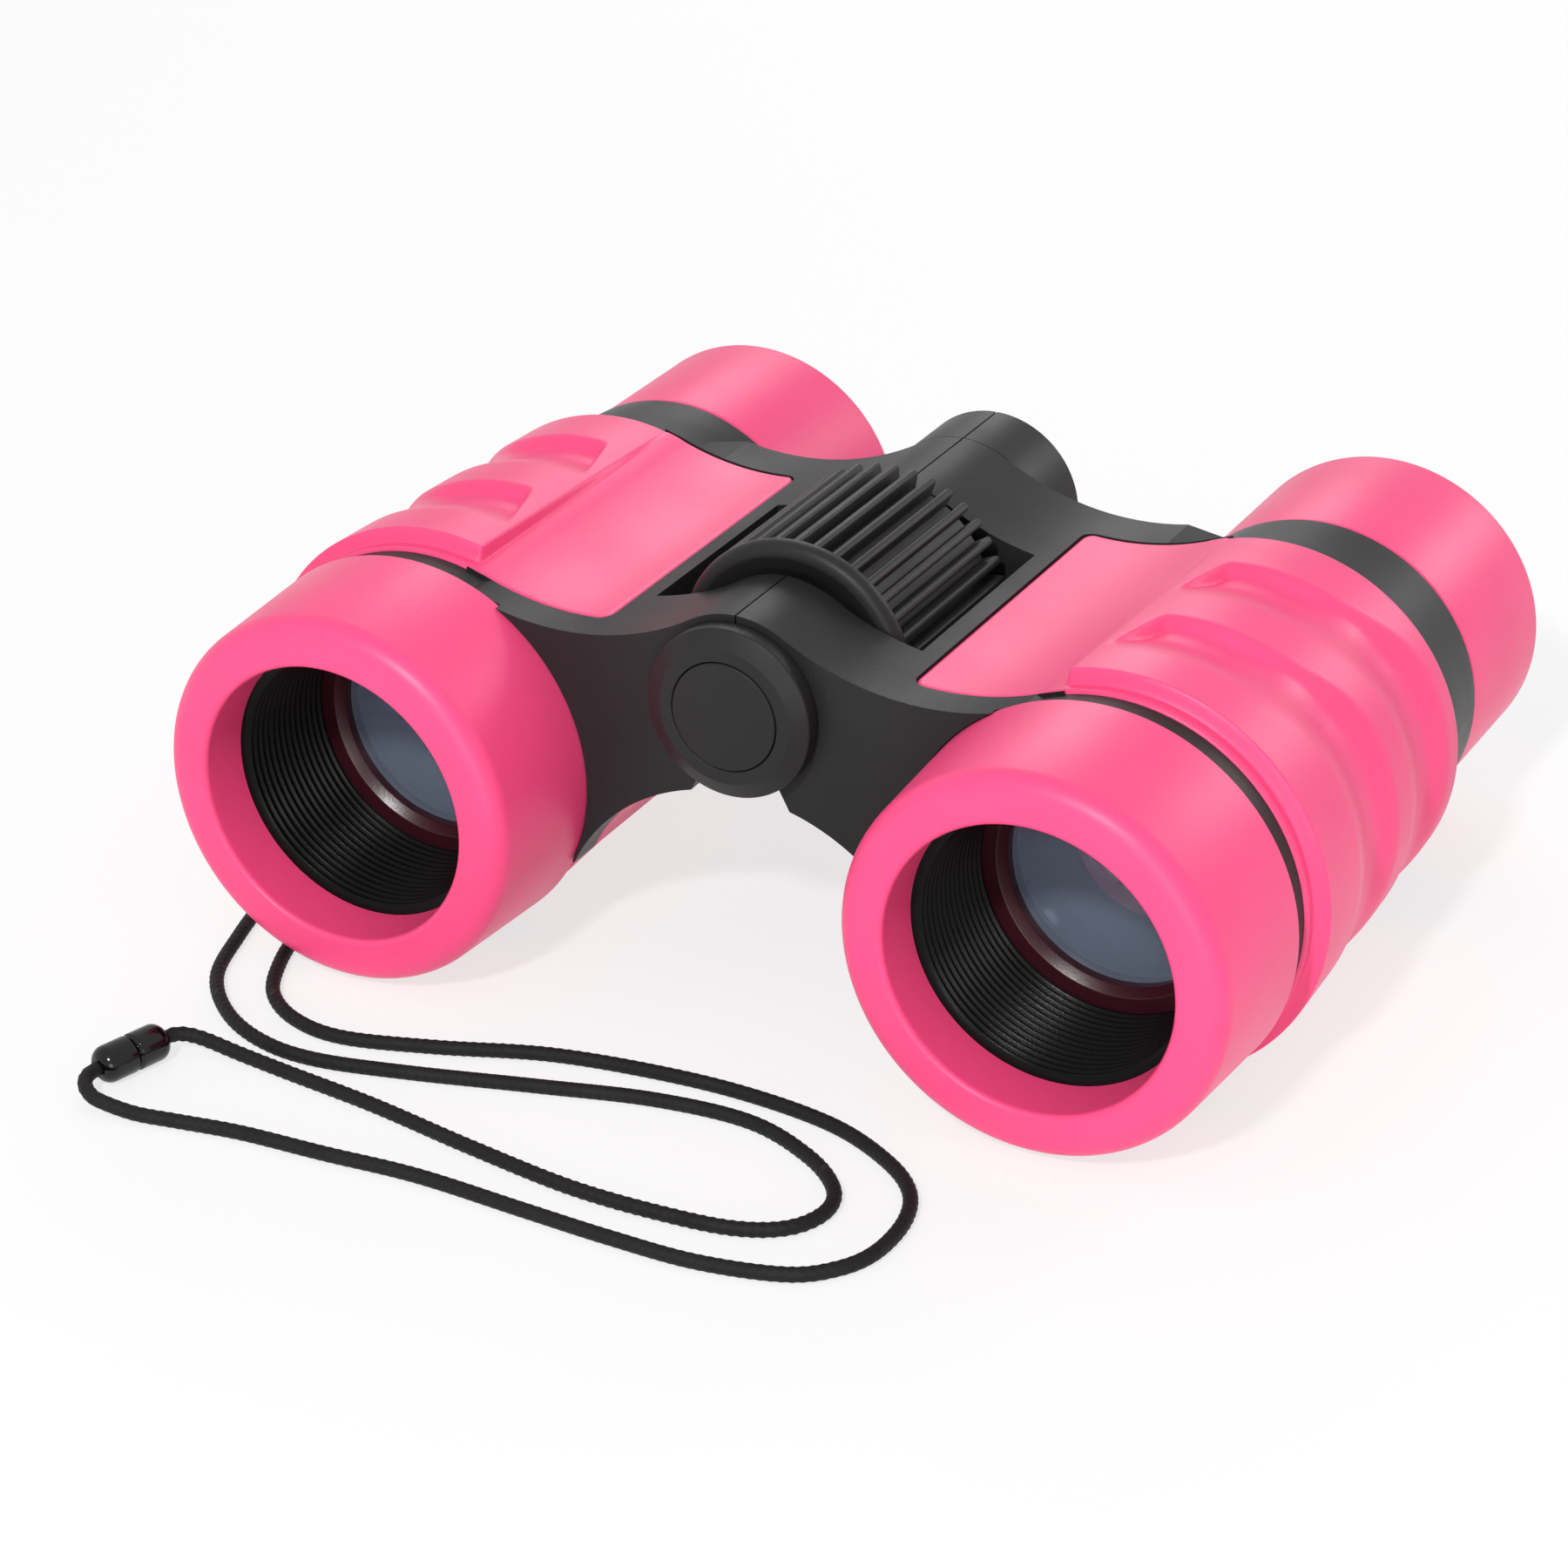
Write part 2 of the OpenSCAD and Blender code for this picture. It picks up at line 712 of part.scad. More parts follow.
module baffle_tube() {
    pitch = (pocket_y0 - opening_depth) / baffle_ridges;
    root_step = 0.4;
    root_r = opening_r - root_step;
    ridges = [for (i = [0 : baffle_ridges - 1], p = [[root_r, 0], [baffle_crest_r, pitch / 2]])
        [p[0], opening_depth + i * pitch + p[1]]];
    at_barrel() turned() polygon(concat(
        [[baffle_r, opening_depth]],
        ridges,
        [[baffle_crest_r, pocket_y0], [baffle_r, pocket_y0]]
    ));
}

module left_baffle_tube() {
    color(black) half(-1) baffle_tube();
}

module right_baffle_tube() {
    color(black) half(1) baffle_tube();
}

module lens_ring() {
    bevel = 0.8;
    at_barrel() turned() polygon([
        [lens_r, pocket_y0],
        [lens_r, lens_y0],
        [lens_ring_r, lens_y0],
        [lens_ring_r, pocket_y0 + bevel],
        [lens_ring_r + bevel, pocket_y0]
    ]);
}

module left_lens_ring() {
    color(maroon) half(-1) lens_ring();
}

module right_lens_ring() {
    color(maroon) half(1) lens_ring();
}

// Radius of the ball whose cap is rise high on a circle of radius r
function cap_ball(r, rise) = (r * r + rise * rise) / (2 * rise);

// A bulging lens: a disc with a shallow spherical cap on each face, inside the rings that hold it
module objective_lens() {
    free_r = lens_ring_r - trim_gap;
    ball_r = cap_ball(free_r, lens_bulge);
    at_barrel() turned() {
        translate([0, lens_y0]) square([lens_r, lens_edge]);
        intersection() {
            translate([0, lens_y0 - lens_bulge + ball_r]) circle(ball_r, $fn = lens_fn);
            translate([0, lens_y1 + lens_bulge - ball_r]) circle(ball_r, $fn = lens_fn);
            translate([0, lens_y0 - lens_bulge]) square([free_r, lens_edge + 2 * lens_bulge]);
        }
    }
}

module left_objective_lens() {
    color(glass) half(-1) objective_lens();
}

module right_objective_lens() {
    color(glass) half(1) objective_lens();
}

// Eyepieces

ocular_lip = 1.4;
ocular_seat_y1 = ocular_y1 - ocular_lip;
ocular_lens_y0 = ocular_seat_y1 - ocular_lens_edge;
ocular_ring_y0 = ocular_lens_y0 - ocular_ring_t;

module eyecup() {
    edge = 0.6;
    lip = 0.9;
    at_barrel() turned() {
        polygon([
            [ocular_r, eyecup_y0],
            [eyecup_out_r - edge, eyecup_y0],
            [eyecup_out_r, eyecup_y0 + edge],
            [eyecup_out_r, body_len - eyecup_round],
            [eyecup_out_r - eyecup_round, body_len],
            [mouth_r + lip, body_len],
            [mouth_r, body_len - lip],
            [ocular_r - ocular_wall, ocular_y1],
            [ocular_r, ocular_y1]
        ]);
        translate([eyecup_out_r - eyecup_round, body_len - eyecup_round]) circle(eyecup_round);
        translate([mouth_r + lip, body_len - lip]) circle(lip);
    }
}

module left_eyecup() {
    color(pink) half(-1) eyecup();
}

module right_eyecup() {
    color(pink) half(1) eyecup();
}

module ocular_tube() {
    at_barrel() turned() polygon([
        [ocular_r, ocular_y0],
        [ocular_r, ocular_y1],
        [ocular_lens_r - ocular_ring_w, ocular_y1],
        [ocular_lens_r - ocular_ring_w, ocular_seat_y1],
        [ocular_lens_r, ocular_seat_y1],
        [ocular_lens_r, ocular_ring_y0],
        [ocular_r - ocular_wall, ocular_ring_y0],
        [ocular_r - ocular_wall, ocular_y0]
    ]);
}

module left_ocular_tube() {
    color(black) half(-1) ocular_tube();
}

module right_ocular_tube() {
    color(black) half(1) ocular_tube();
}

module ocular_ring() {
    at_barrel() turned() polygon([
        [ocular_lens_r, ocular_ring_y0],
        [ocular_lens_r, ocular_lens_y0],
        [ocular_lens_r - ocular_ring_w, ocular_lens_y0],
        [ocular_lens_r - ocular_ring_w, ocular_ring_y0]
    ]);
}

module left_ocular_ring() {
    color(black) half(-1) ocular_ring();
}

module right_ocular_ring() {
    color(black) half(1) ocular_ring();
}

// A hollowed lens: a disc with a spherical dish in each face
module ocular_lens() {
    ball_r = cap_ball(ocular_lens_r - ocular_ring_w, ocular_hollow);
    at_barrel() turned() difference() {
        translate([0, ocular_lens_y0]) square([ocular_lens_r, ocular_lens_edge]);
        translate([0, ocular_lens_y0 + ocular_hollow - ball_r]) circle(ball_r, $fn = lens_fn);
        translate([0, ocular_seat_y1 - ocular_hollow + ball_r]) circle(ball_r, $fn = lens_fn);
    }
}

module left_ocular_lens() {
    color(glass) half(-1) ocular_lens();
}

module right_ocular_lens() {
    color(glass) half(1) ocular_lens();
}

// Focus drive

// Bar from the carriage to the ocular tube, with an eye round the carriage's hub
module focus_arm(y0, eye_r) {
    difference() {
        prism(y0, y0 + arm_t) {
            translate(hinge_c) circle(carriage_flange_r);
            translate(hinge_c) rotate(arm_deg) translate([0, -arm_w / 2])
                square([arm_reach - ocular_r + cut, arm_w]);
        }
        at_hinge() rod(eye_r, y0 - cut, y0 + arm_t + cut);
        at_barrel() rod(ocular_r, y0 - cut, y0 + arm_t + cut);
    }
}

module left_focus_arm() {
    color(black) half(-1) focus_arm(carriage_y0, carriage_hub_r);
}

module right_focus_arm() {
    color(black) half(1) focus_arm(carriage_y0 + arm_t + arm_gap, carriage_hub_r + run_clear);
}

module focus_carriage() {
    flange_y = carriage_y0 + carriage_len - carriage_flange_t;
    color(black) half(1) at_hinge() difference() {
        union() {
            rod(carriage_hub_r, carriage_y0, carriage_y0 + carriage_len);
            rod(carriage_flange_r, flange_y, flange_y + carriage_flange_t);
        }
        rod(spigot_r + run_clear, carriage_y0 - cut, carriage_y0 + carriage_len + cut);
    }
}

module focus_wheel() {
    drum_r = wheel_r - rib_h;
    drum_wall = 2;
    rib_root_r = drum_r - drum_wall / 2;
    rib_top = sqrt(wheel_r * wheel_r - rib_t * rib_t / 4);
    rim = 1.25;
    dish = 2.6;
    face_rim = 3.4;
    face_r = drum_r - face_rim;
    drum_setback = 0.4;
    web_y = wheel_y0 + wheel_len / 2;
    web_t = 3;
    thread_pitch = 1.6;
    thread_d = 0.5;
    thread_turns = floor((spigot_y1 - bay_y0) / thread_pitch);
    thread = [for (i = [0 : thread_turns - 1], p = [[spigot_r, 0], [spigot_r - thread_d, 0.5]])
        [p[0], bay_y0 + (i + p[1]) * thread_pitch]];
    color(charcoal) half(1) at_hinge() {
        turned() {
            polygon(concat(
                [
                    [pin_r + run_clear, wheel_y0 + dish],
                    [face_r, wheel_y0 + dish],
                    [wheel_r - rim, wheel_y0],
                    [wheel_r, wheel_y0 + rim],
                    [wheel_r - rim, wheel_y0 + 2 * rim],
                    [drum_r, wheel_y0 + 2 * rim],
                    [drum_r, wheel_y1 - drum_setback],
                    [drum_r - drum_wall, wheel_y1 - drum_setback],
                    [drum_r - drum_wall, web_y + web_t],
                    [spigot_r, web_y + web_t]
                ],
                thread,
                [[spigot_r, spigot_y1], [pin_r + run_clear, spigot_y1]]
            ));
            translate([wheel_r - rim, wheel_y0 + rim]) circle(rim);
        }
        for (i = [0 : rib_count - 1]) {
            rotate([0, i * 360 / rib_count, 0]) translate([-rib_t / 2, wheel_y0 + rim, rib_root_r])
                cube([rib_t, wheel_len - rim, rib_top - rib_root_r]);
        }
    }
}

// Hinge pieces

module hinge_pin() {
    color(steel) half(1) at_hinge() difference() {
        rod(pin_r, front_bay_y0, tail_y1);
        rod(screw_r, front_bay_y0 - cut, front_bay_y0 + screw_len);
    }
}

// Pan-head screw in the front end of the pin, against the left half's front knuckle
module hinge_screw() {
    color(steel) half(1) at_hinge() difference() {
        union() {
            rod(screw_head_r, front_bay_y0 - screw_head_t, front_bay_y0);
            rod(screw_r, front_bay_y0 - eps, front_bay_y0 + screw_len);
        }
        for (turn = [0, 90]) {
            rotate([0, turn, 0]) translate([-screw_r, front_bay_y0 - screw_head_t - cut, -screw_slot_w / 2])
                cube([2 * screw_r, screw_slot_d + cut, screw_slot_w]);
        }
    }
}

module hinge_front_cap() {
    color(charcoal) half(1) at_hinge() difference() {
        union() {
            turned() polygon([
                [0, plate_y - cap_t],
                [cap_r - cap_bevel, plate_y - cap_t],
                [cap_r, plate_y - cap_t + cap_bevel / 2],
                [cap_r, plate_y - move_gap],
                [0, plate_y - move_gap]
            ]);
            rod(knuckle_r, plate_y - cap_t / 2, front_bay_y0);
        }
        rod(cap_disc_r + trim_gap, plate_y - cap_t - cut, plate_y - cap_t + cap_disc_t);
        rod(screw_head_r + trim_gap, plate_y - cap_t, front_bay_y0 + cut);
    }
}

module front_cap_disc() {
    color(charcoal) half(1) at_hinge()
        rod(cap_disc_r, plate_y - cap_t - cap_disc_proud, plate_y - cap_t + cap_disc_t);
}

module hinge_rear_cap() {
    color(charcoal) half(1) at_hinge() {
        turned() polygon([
            [0, hump_y1 + move_gap],
            [cap_r, hump_y1 + move_gap],
            [cap_r, hump_y1 + move_gap + rear_cap_t / 2],
            [cap_r - rear_cap_t, hump_y1 + move_gap + rear_cap_t],
            [0, hump_y1 + move_gap + rear_cap_t]
        ]);
        rod(knuckle_r, tail_y1, hump_y1 + cut);
    }
}

// Strap lug: two ears on the left barrel with a bar between them
module strap_lug() {
    inner_x = half_spacing + tail_r1 - 1.5 * cut;
    bar_x = -lug_x;
    reach = lug_bar_len / 2 + lug_ear_t;
    color(charcoal) half(-1) {
        difference() {
            for (y = [lug_y - reach, lug_y + reach - lug_ear_t]) {
                prism(y, y + lug_ear_t) {
                    translate([inner_x, -lug_ear_h / 2]) square([bar_x - inner_x, lug_ear_h]);
                    translate([bar_x, 0]) intersection() {
                        circle(lug_ear_h / 2);
                        translate([-lug_ear_h, -lug_ear_h]) square([lug_ear_h + lug_bar_r, 2 * lug_ear_h]);
                    }
                }
            }
            at_barrel() taper(tail_r0, tail_r1, sleeve_y1, barrel_y1);
        }
        translate([bar_x, 0, 0]) rod(lug_bar_r, lug_y - reach, lug_y + reach);
    }
}

// Cord

// Two turns round the bar, side by side, and the bight across them
module cord_hitch() {
    color(black) translate([lug_x, lug_y - body_len / 2, rest_h]) {
        for (y = [-hitch_pitch / 2, hitch_pitch / 2]) {
            translate([0, y, 0]) turned() translate([hitch_r, 0]) circle(cord_d / 2);
        }
        translate([0, 0, hitch_r]) rod(cord_d / 2, -hitch_pitch / 2, hitch_pitch / 2);
    }
}

// One closed tube along a route, with a ring of sides at each point
cord_sides = 8;
function heading(p, i) = unit(p[min(i + 1, len(p) - 1)] - p[max(i - 1, 0)]);
function across(t) = unit(abs(t[2]) > 0.9 ? cross([1, 0, 0], t) : cross([0, 0, 1], t));
function ring(p, i) =
    let (t = heading(p, i), u = across(t), v = cross(t, u))
    [for (k = [0 : cord_sides - 1])
        p[i] + cord_z * (cos(k * 360 / cord_sides) * u + sin(k * 360 / cord_sides) * v)];

module cord_tube(route) {
    rings = len(route);
    points = [for (i = [0 : rings - 1]) each ring(route, i)];
    sides = [for (i = [0 : rings - 2], k = [0 : cord_sides - 1])
        let (a = i * cord_sides + k, b = i * cord_sides + (k + 1) % cord_sides)
        each [[a, a + cord_sides, b], [b, a + cord_sides, b + cord_sides]]];
    near = [for (k = [1 : cord_sides - 2]) [0, k, k + 1]];
    last = (rings - 1) * cord_sides;
    end = [for (k = [1 : cord_sides - 2]) [last, last + k + 1, last + k]];
    polyhedron(points, concat(sides, near, end));
}

module cord_strand_a() {
    color(black) cord_tube(cord_a_route);
}

module cord_strand_b() {
    color(black) cord_tube(cord_b_route);
}

// Half of the breakaway bead, with its rounded end and a socket for the cord
module bead_half(turn) {
    nose = 1.4;
    length = bead_len / 2 - trim_gap / 2;
    translate([bead_c[0], bead_c[1], bead_r]) rotate([0, 0, atan2(bead_dir[1], bead_dir[0]) + turn])
        rotate([0, 90, 0]) translate([0, 0, trim_gap / 2]) difference() {
            rotate_extrude() intersection() {
                union() {
                    square([bead_r, length - nose]);
                    square([bead_r - nose, length]);
                    translate([bead_r - nose, length - nose]) circle(nose);
                }
                square([bead_r, length]);
            }
            translate([0, 0, length - bead_socket]) cylinder(r = cord_d / 2, h = bead_socket + cut);
        }
}

module bead_half_a() {
    color(black) bead_half(0);
}

module bead_half_b() {
    color(black) bead_half(180);
}

left_chassis();
right_chassis();
left_grip_sleeve();
right_grip_sleeve();
left_objective_cup();
right_objective_cup();
left_baffle_tube();
right_baffle_tube();
left_lens_ring();
right_lens_ring();
left_objective_lens();
right_objective_lens();
left_eyecup();
right_eyecup();
left_ocular_tube();
right_ocular_tube();
left_ocular_lens();
right_ocular_lens();
left_ocular_ring();
right_ocular_ring();
left_focus_arm();
right_focus_arm();
focus_carriage();
focus_wheel();
left_rear_cover();
right_rear_cover();
left_bottom_cover();
right_bottom_cover();
hinge_pin();
hinge_screw();
hinge_front_cap();
front_cap_disc();
hinge_rear_cap();
strap_lug();
cord_hitch();
cord_strand_a();
cord_strand_b();
bead_half_a();
bead_half_b();
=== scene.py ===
"""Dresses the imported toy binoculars: rubber grips and cups, moulded casing, lenses, focus wheel and cord."""

import math

import bmesh
import bpy
import numpy as np
from mathutils import Matrix, Vector


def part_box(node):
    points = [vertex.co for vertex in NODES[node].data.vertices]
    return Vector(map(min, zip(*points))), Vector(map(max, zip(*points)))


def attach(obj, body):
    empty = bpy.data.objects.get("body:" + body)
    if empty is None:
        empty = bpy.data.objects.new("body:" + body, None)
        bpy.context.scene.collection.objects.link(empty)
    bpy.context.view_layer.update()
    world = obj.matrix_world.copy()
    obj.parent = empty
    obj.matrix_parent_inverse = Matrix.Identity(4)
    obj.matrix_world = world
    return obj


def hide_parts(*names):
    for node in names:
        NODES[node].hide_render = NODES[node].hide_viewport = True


bl_info = {
    "name": "Toy Binoculars",
    "version": (1, 0, 0),
    "blender": (4, 5, 0),
    "location": "View3D > Sidebar > Binoculars",
    "description": "Builds the grips, cups, lenses, focus wheel, cord and stage of a pair of toy binoculars",
    "category": "Object",
}

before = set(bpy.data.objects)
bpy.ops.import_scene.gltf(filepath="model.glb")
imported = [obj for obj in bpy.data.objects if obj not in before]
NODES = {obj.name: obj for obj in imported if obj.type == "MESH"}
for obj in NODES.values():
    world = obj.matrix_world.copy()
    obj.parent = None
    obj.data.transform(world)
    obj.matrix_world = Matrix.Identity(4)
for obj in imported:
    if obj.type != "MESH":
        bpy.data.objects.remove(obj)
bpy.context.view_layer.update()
MM = 0.001
SIDES = (("left", -1.0), ("right", 1.0))

# Places that the frame gives: the right barrel's axis, the objective rim and the hinge axis
CUP_LOW, CUP_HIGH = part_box("right_objective_cup")
CAP_LOW, CAP_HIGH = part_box("hinge_front_cap")
AXIS_X = (CUP_LOW[0] + CUP_HIGH[0]) / 2
AXIS_Z = (CUP_LOW[2] + CUP_HIGH[2]) / 2
RIM_Y = CUP_LOW[1]
HINGE_Z = (CAP_LOW[2] + CAP_HIGH[2]) / 2
HINGE_AXIS = (0.0, HINGE_Z)

# Routes of the two cord strands from the strap lug to the bead, in millimetres
CORD_A = (
    (-61, 21.6, 19), (-61.4, 21.2, 14), (-62.2, 20, 9), (-63, 17, 5), (-63, 12, 3), (-62, 4, 2.4),
    (-61, -5, 2), (-60, -15, 1.5), (-59, -25, 1.1), (-57.5, -34, 0.8), (-55, -44, 0.8),
    (-52, -52.5, 0.8), (-46.5, -58.5, 0.8), (-40, -61.8, 0.8), (-33, -62.5, 0.8), (-23, -60.5, 0.8),
    (-10, -57, 0.8), (2, -54, 0.8), (12.5, -53.5, 0.8), (20.5, -56.5, 0.8), (25.5, -60.5, 0.8),
    (27, -64.5, 0.8), (25.5, -68.5, 0.8), (21.5, -71, 0.8), (15, -72, 0.8), (3.5, -72, 0.8),
    (-9.5, -70, 0.8), (-22.5, -67.5, 0.8), (-33.5, -66, 0.8), (-40, -65.3, 1), (-45, -65.2, 1.6),
    (-47.2, -66.1, 2), (-48.2, -67.8, 2),
)
CORD_B = (
    (-61, 23.6, 19), (-61.2, 24, 14), (-61.2, 24, 9), (-60.4, 22.5, 5.2), (-59, 19.5, 3.3),
    (-57.5, 14, 2.9), (-56, 6, 2.5), (-54.5, -4, 2), (-53.5, -14, 1.6), (-52.5, -24, 1.1),
    (-51, -33, 0.8), (-49.5, -41, 0.8), (-47.5, -47.5, 0.8), (-44.5, -53, 0.8), (-39.5, -56.5, 0.8),
    (-33, -57.5, 0.8), (-23.5, -55, 0.8), (-12, -51, 0.8), (0, -49.2, 0.8), (10.5, -49, 0.8),
    (20.5, -50.5, 0.8), (28, -54, 0.8), (32.5, -58, 0.8), (34.5, -63, 0.8), (34.5, -69, 0.8),
    (32.5, -73.2, 0.8), (28.5, -76.2, 0.8), (20, -78, 0.8), (10.5, -78, 0.8), (1, -77.5, 0.8),
    (-11.5, -76.8, 0.8), (-22, -77.4, 0.8), (-31.5, -77.8, 0.8), (-38.5, -78.8, 0.8),
    (-43.2, -79.6, 0.9), (-47.3, -79.8, 1.4), (-48.8, -79.4, 1.7), (-50, -78.4, 1.9), (-50.6, -77, 2),
    (-50.45, -75.3, 2),
)
BEAD_MIDDLE = (-49.3, -71.5, 2.0)
BEAD_ALONG = (0.29, 0.957, 0.0)
LUG_BAR = (-61.0, 22.6, 21.3)

# Finishes that have no setting of their own
STEEL_GREY = (0.55, 0.56, 0.58, 1.0)
LENS_BLUE = (0.38, 0.47, 0.62, 1.0)
GLOSS_LESS, GLOSS_MORE = 0.04, 0.05
GRAIN_STRENGTH = 0.35


# Values that a user would change

class BinocularSizes(bpy.types.PropertyGroup):
    """Sizes of the dressed pieces"""

    cup_rim: bpy.props.FloatProperty(
        name="Cup Rim", description="Rounding of the front edge of an objective cup",
        default=2.5 * MM, unit="LENGTH")
    edge_round: bpy.props.FloatProperty(
        name="Grip Edge", description="Rounding of the border of a grip sleeve",
        default=0.55 * MM, unit="LENGTH")
    dent_depth: bpy.props.FloatProperty(
        name="Finger Dents", description="Depth of the finger dents in a grip",
        default=1.4 * MM, unit="LENGTH")
    cord_width: bpy.props.FloatProperty(
        name="Cord", description="Diameter of the cord", default=1.6 * MM, unit="LENGTH")
    rib_count: bpy.props.IntProperty(
        name="Wheel Ribs", description="Ribs round the focus wheel", default=36, min=12)


class BinocularFinish(bpy.types.PropertyGroup):
    """Colours of the finishes"""

    pink: bpy.props.FloatVectorProperty(
        name="Rubber", description="Colour of the soft grips and cups", subtype="COLOR", size=3,
        default=(0.93, 0.072, 0.228))
    charcoal: bpy.props.FloatVectorProperty(
        name="Casing", description="Colour of the moulded casing", subtype="COLOR", size=3,
        default=(0.020, 0.020, 0.021))
    black: bpy.props.FloatVectorProperty(
        name="Black Plastic", description="Colour of the baffles and the ocular tubes", subtype="COLOR",
        size=3, default=(0.003, 0.003, 0.0033))
    maroon: bpy.props.FloatVectorProperty(
        name="Lens Ring", description="Colour of the rings that hold the lenses", subtype="COLOR", size=3,
        default=(0.040, 0.006, 0.012))
    cord: bpy.props.FloatVectorProperty(
        name="Cord", description="Colour of the braided cord", subtype="COLOR", size=3,
        default=(0.005, 0.005, 0.0055))
    floor: bpy.props.FloatVectorProperty(
        name="Floor", description="Colour of the table and the backdrop", subtype="COLOR", size=3,
        default=(0.93, 0.93, 0.93))


def sizes():
    return bpy.context.scene.binocular_sizes


def finish():
    return bpy.context.scene.binocular_finish


# Shader node groups and materials

def new_group(name, inputs, outputs):
    """A shader group with float inputs, each a name and a default, and float outputs by name."""
    tree = bpy.data.node_groups.new(name, "ShaderNodeTree")
    for label, value in inputs:
        socket = tree.interface.new_socket(label, in_out="INPUT", socket_type="NodeSocketFloat")
        socket.default_value = value
    for label in outputs:
        tree.interface.new_socket(label, in_out="OUTPUT", socket_type="NodeSocketFloat")
    return tree, tree.nodes.new("NodeGroupInput"), tree.nodes.new("NodeGroupOutput")


def grain_group():
    """Fine moulded grain: a height for the bump and a slow mottle for colour and gloss."""
    found = bpy.data.node_groups.get("Moulded Grain")
    if found:
        return found
    tree, entry, leave = new_group(
        "Moulded Grain", (("Grain Scale", 2500.0), ("Mottle Scale", 60.0)), ("Height", "Mottle"))
    place = tree.nodes.new("ShaderNodeTexCoord")
    fine = tree.nodes.new("ShaderNodeTexNoise")
    fine.inputs["Detail"].default_value = 3.0
    fine.inputs["Roughness"].default_value = 0.6
    slow = tree.nodes.new("ShaderNodeTexNoise")
    slow.inputs["Detail"].default_value = 4.0
    spread = tree.nodes.new("ShaderNodeMapRange")
    spread.inputs["From Min"].default_value = 0.3
    spread.inputs["From Max"].default_value = 0.7
    link = tree.links.new
    link(place.outputs["Object"], fine.inputs["Vector"])
    link(place.outputs["Object"], slow.inputs["Vector"])
    link(entry.outputs["Grain Scale"], fine.inputs["Scale"])
    link(entry.outputs["Mottle Scale"], slow.inputs["Scale"])
    link(slow.outputs["Fac"], spread.inputs["Value"])
    link(fine.outputs["Fac"], leave.inputs["Height"])
    link(spread.outputs["Result"], leave.inputs["Mottle"])
    return tree


def crest_lift_group():
    """Lifts the colour on raised crests and edges, from the bend of the surface."""
    found = bpy.data.node_groups.get("Crest Lift")
    if found:
        return found
    tree, entry, leave = new_group("Crest Lift", (("Start", 0.53), ("End", 0.62)), ("Rub",))
    shape = tree.nodes.new("ShaderNodeNewGeometry")
    spread = tree.nodes.new("ShaderNodeMapRange")
    link = tree.links.new
    link(shape.outputs["Pointiness"], spread.inputs["Value"])
    link(entry.outputs["Start"], spread.inputs["From Min"])
    link(entry.outputs["End"], spread.inputs["From Max"])
    link(spread.outputs["Result"], leave.inputs["Rub"])
    return tree


def shader(name):
    """A material and its Principled shader, which is None where the material was made before."""
    found = bpy.data.materials.get(name)
    if found:
        return found, None
    material = bpy.data.materials.new(name)
    material.use_nodes = True
    return material, material.node_tree.nodes["Principled BSDF"]


def add_grain(tree, grain=2500.0, mottle=60.0):
    """The grain group as a node of a material."""
    texture = tree.nodes.new("ShaderNodeGroup")
    texture.node_tree = grain_group()
    texture.inputs["Grain Scale"].default_value = grain
    texture.inputs["Mottle Scale"].default_value = mottle
    return texture


def mix_colour(tree, factor, second):
    """A mix towards a second colour; its first one is still to be set."""
    mix = tree.nodes.new("ShaderNodeMix")
    mix.data_type = "RGBA"
    mix.inputs["B"].default_value = (*second, 1.0)
    tree.links.new(factor, mix.inputs["Factor"])
    return mix


def uneven_gloss(tree, bsdf, source, low, high):
    """Lets a texture move the roughness between two values."""
    gloss = tree.nodes.new("ShaderNodeMapRange")
    gloss.inputs["To Min"].default_value = low
    gloss.inputs["To Max"].default_value = high
    tree.links.new(source, gloss.inputs["Value"])
    tree.links.new(gloss.outputs["Result"], bsdf.inputs["Roughness"])


def moulded(name, colour, rough, grain, mottle, depth, shade, rub=0.0, specular=0.5):
    """A moulded finish: mottled colour, uneven gloss, fine bump and, where asked, a lighter colour on raised
    crests and edges.
    """
    material, bsdf = shader(name)
    if bsdf is None:
        return material
    tree = material.node_tree
    link = tree.links.new
    texture = add_grain(tree, grain, mottle)
    tint = mix_colour(tree, texture.outputs["Mottle"], [c * (1.0 - shade) for c in colour])
    tint.inputs["A"].default_value = (*colour, 1.0)
    top = tint.outputs["Result"]
    # Where asked, raised crests and edges are made a little lighter, by how sharply the surface bends
    if rub:
        edge = tree.nodes.new("ShaderNodeGroup")
        edge.node_tree = crest_lift_group()
        lifted = mix_colour(tree, edge.outputs["Rub"], [c + (1.0 - c) * rub for c in colour])
        link(top, lifted.inputs["A"])
        top = lifted.outputs["Result"]
    bump = tree.nodes.new("ShaderNodeBump")
    bump.inputs["Strength"].default_value = GRAIN_STRENGTH
    bump.inputs["Distance"].default_value = depth
    uneven_gloss(tree, bsdf, texture.outputs["Mottle"], rough - GLOSS_LESS, rough + GLOSS_MORE)
    link(top, bsdf.inputs["Base Color"])
    link(texture.outputs["Height"], bump.inputs["Height"])
    link(bump.outputs["Normal"], bsdf.inputs["Normal"])
    bsdf.inputs["Specular IOR Level"].default_value = specular
    return material


def pink_rubber():
    return moulded("soft_pink_rubber", finish().pink, rough=0.38, grain=5200.0, mottle=55.0,
                   depth=0.05 * MM, shade=0.06, specular=0.36)


def charcoal_plastic():
    return moulded("grained_charcoal", finish().charcoal, rough=0.42, grain=4200.0, mottle=80.0,
                   depth=0.06 * MM, shade=0.18, specular=0.20)


def black_plastic():
    return moulded("smooth_black", finish().black, rough=0.26, grain=4000.0, mottle=90.0,
                   depth=0.05 * MM, shade=0.2, specular=0.12)


def maroon_plastic():
    return moulded("dark_red_ring", finish().maroon, rough=0.30, grain=4000.0, mottle=120.0,
                   depth=0.04 * MM, shade=0.2)


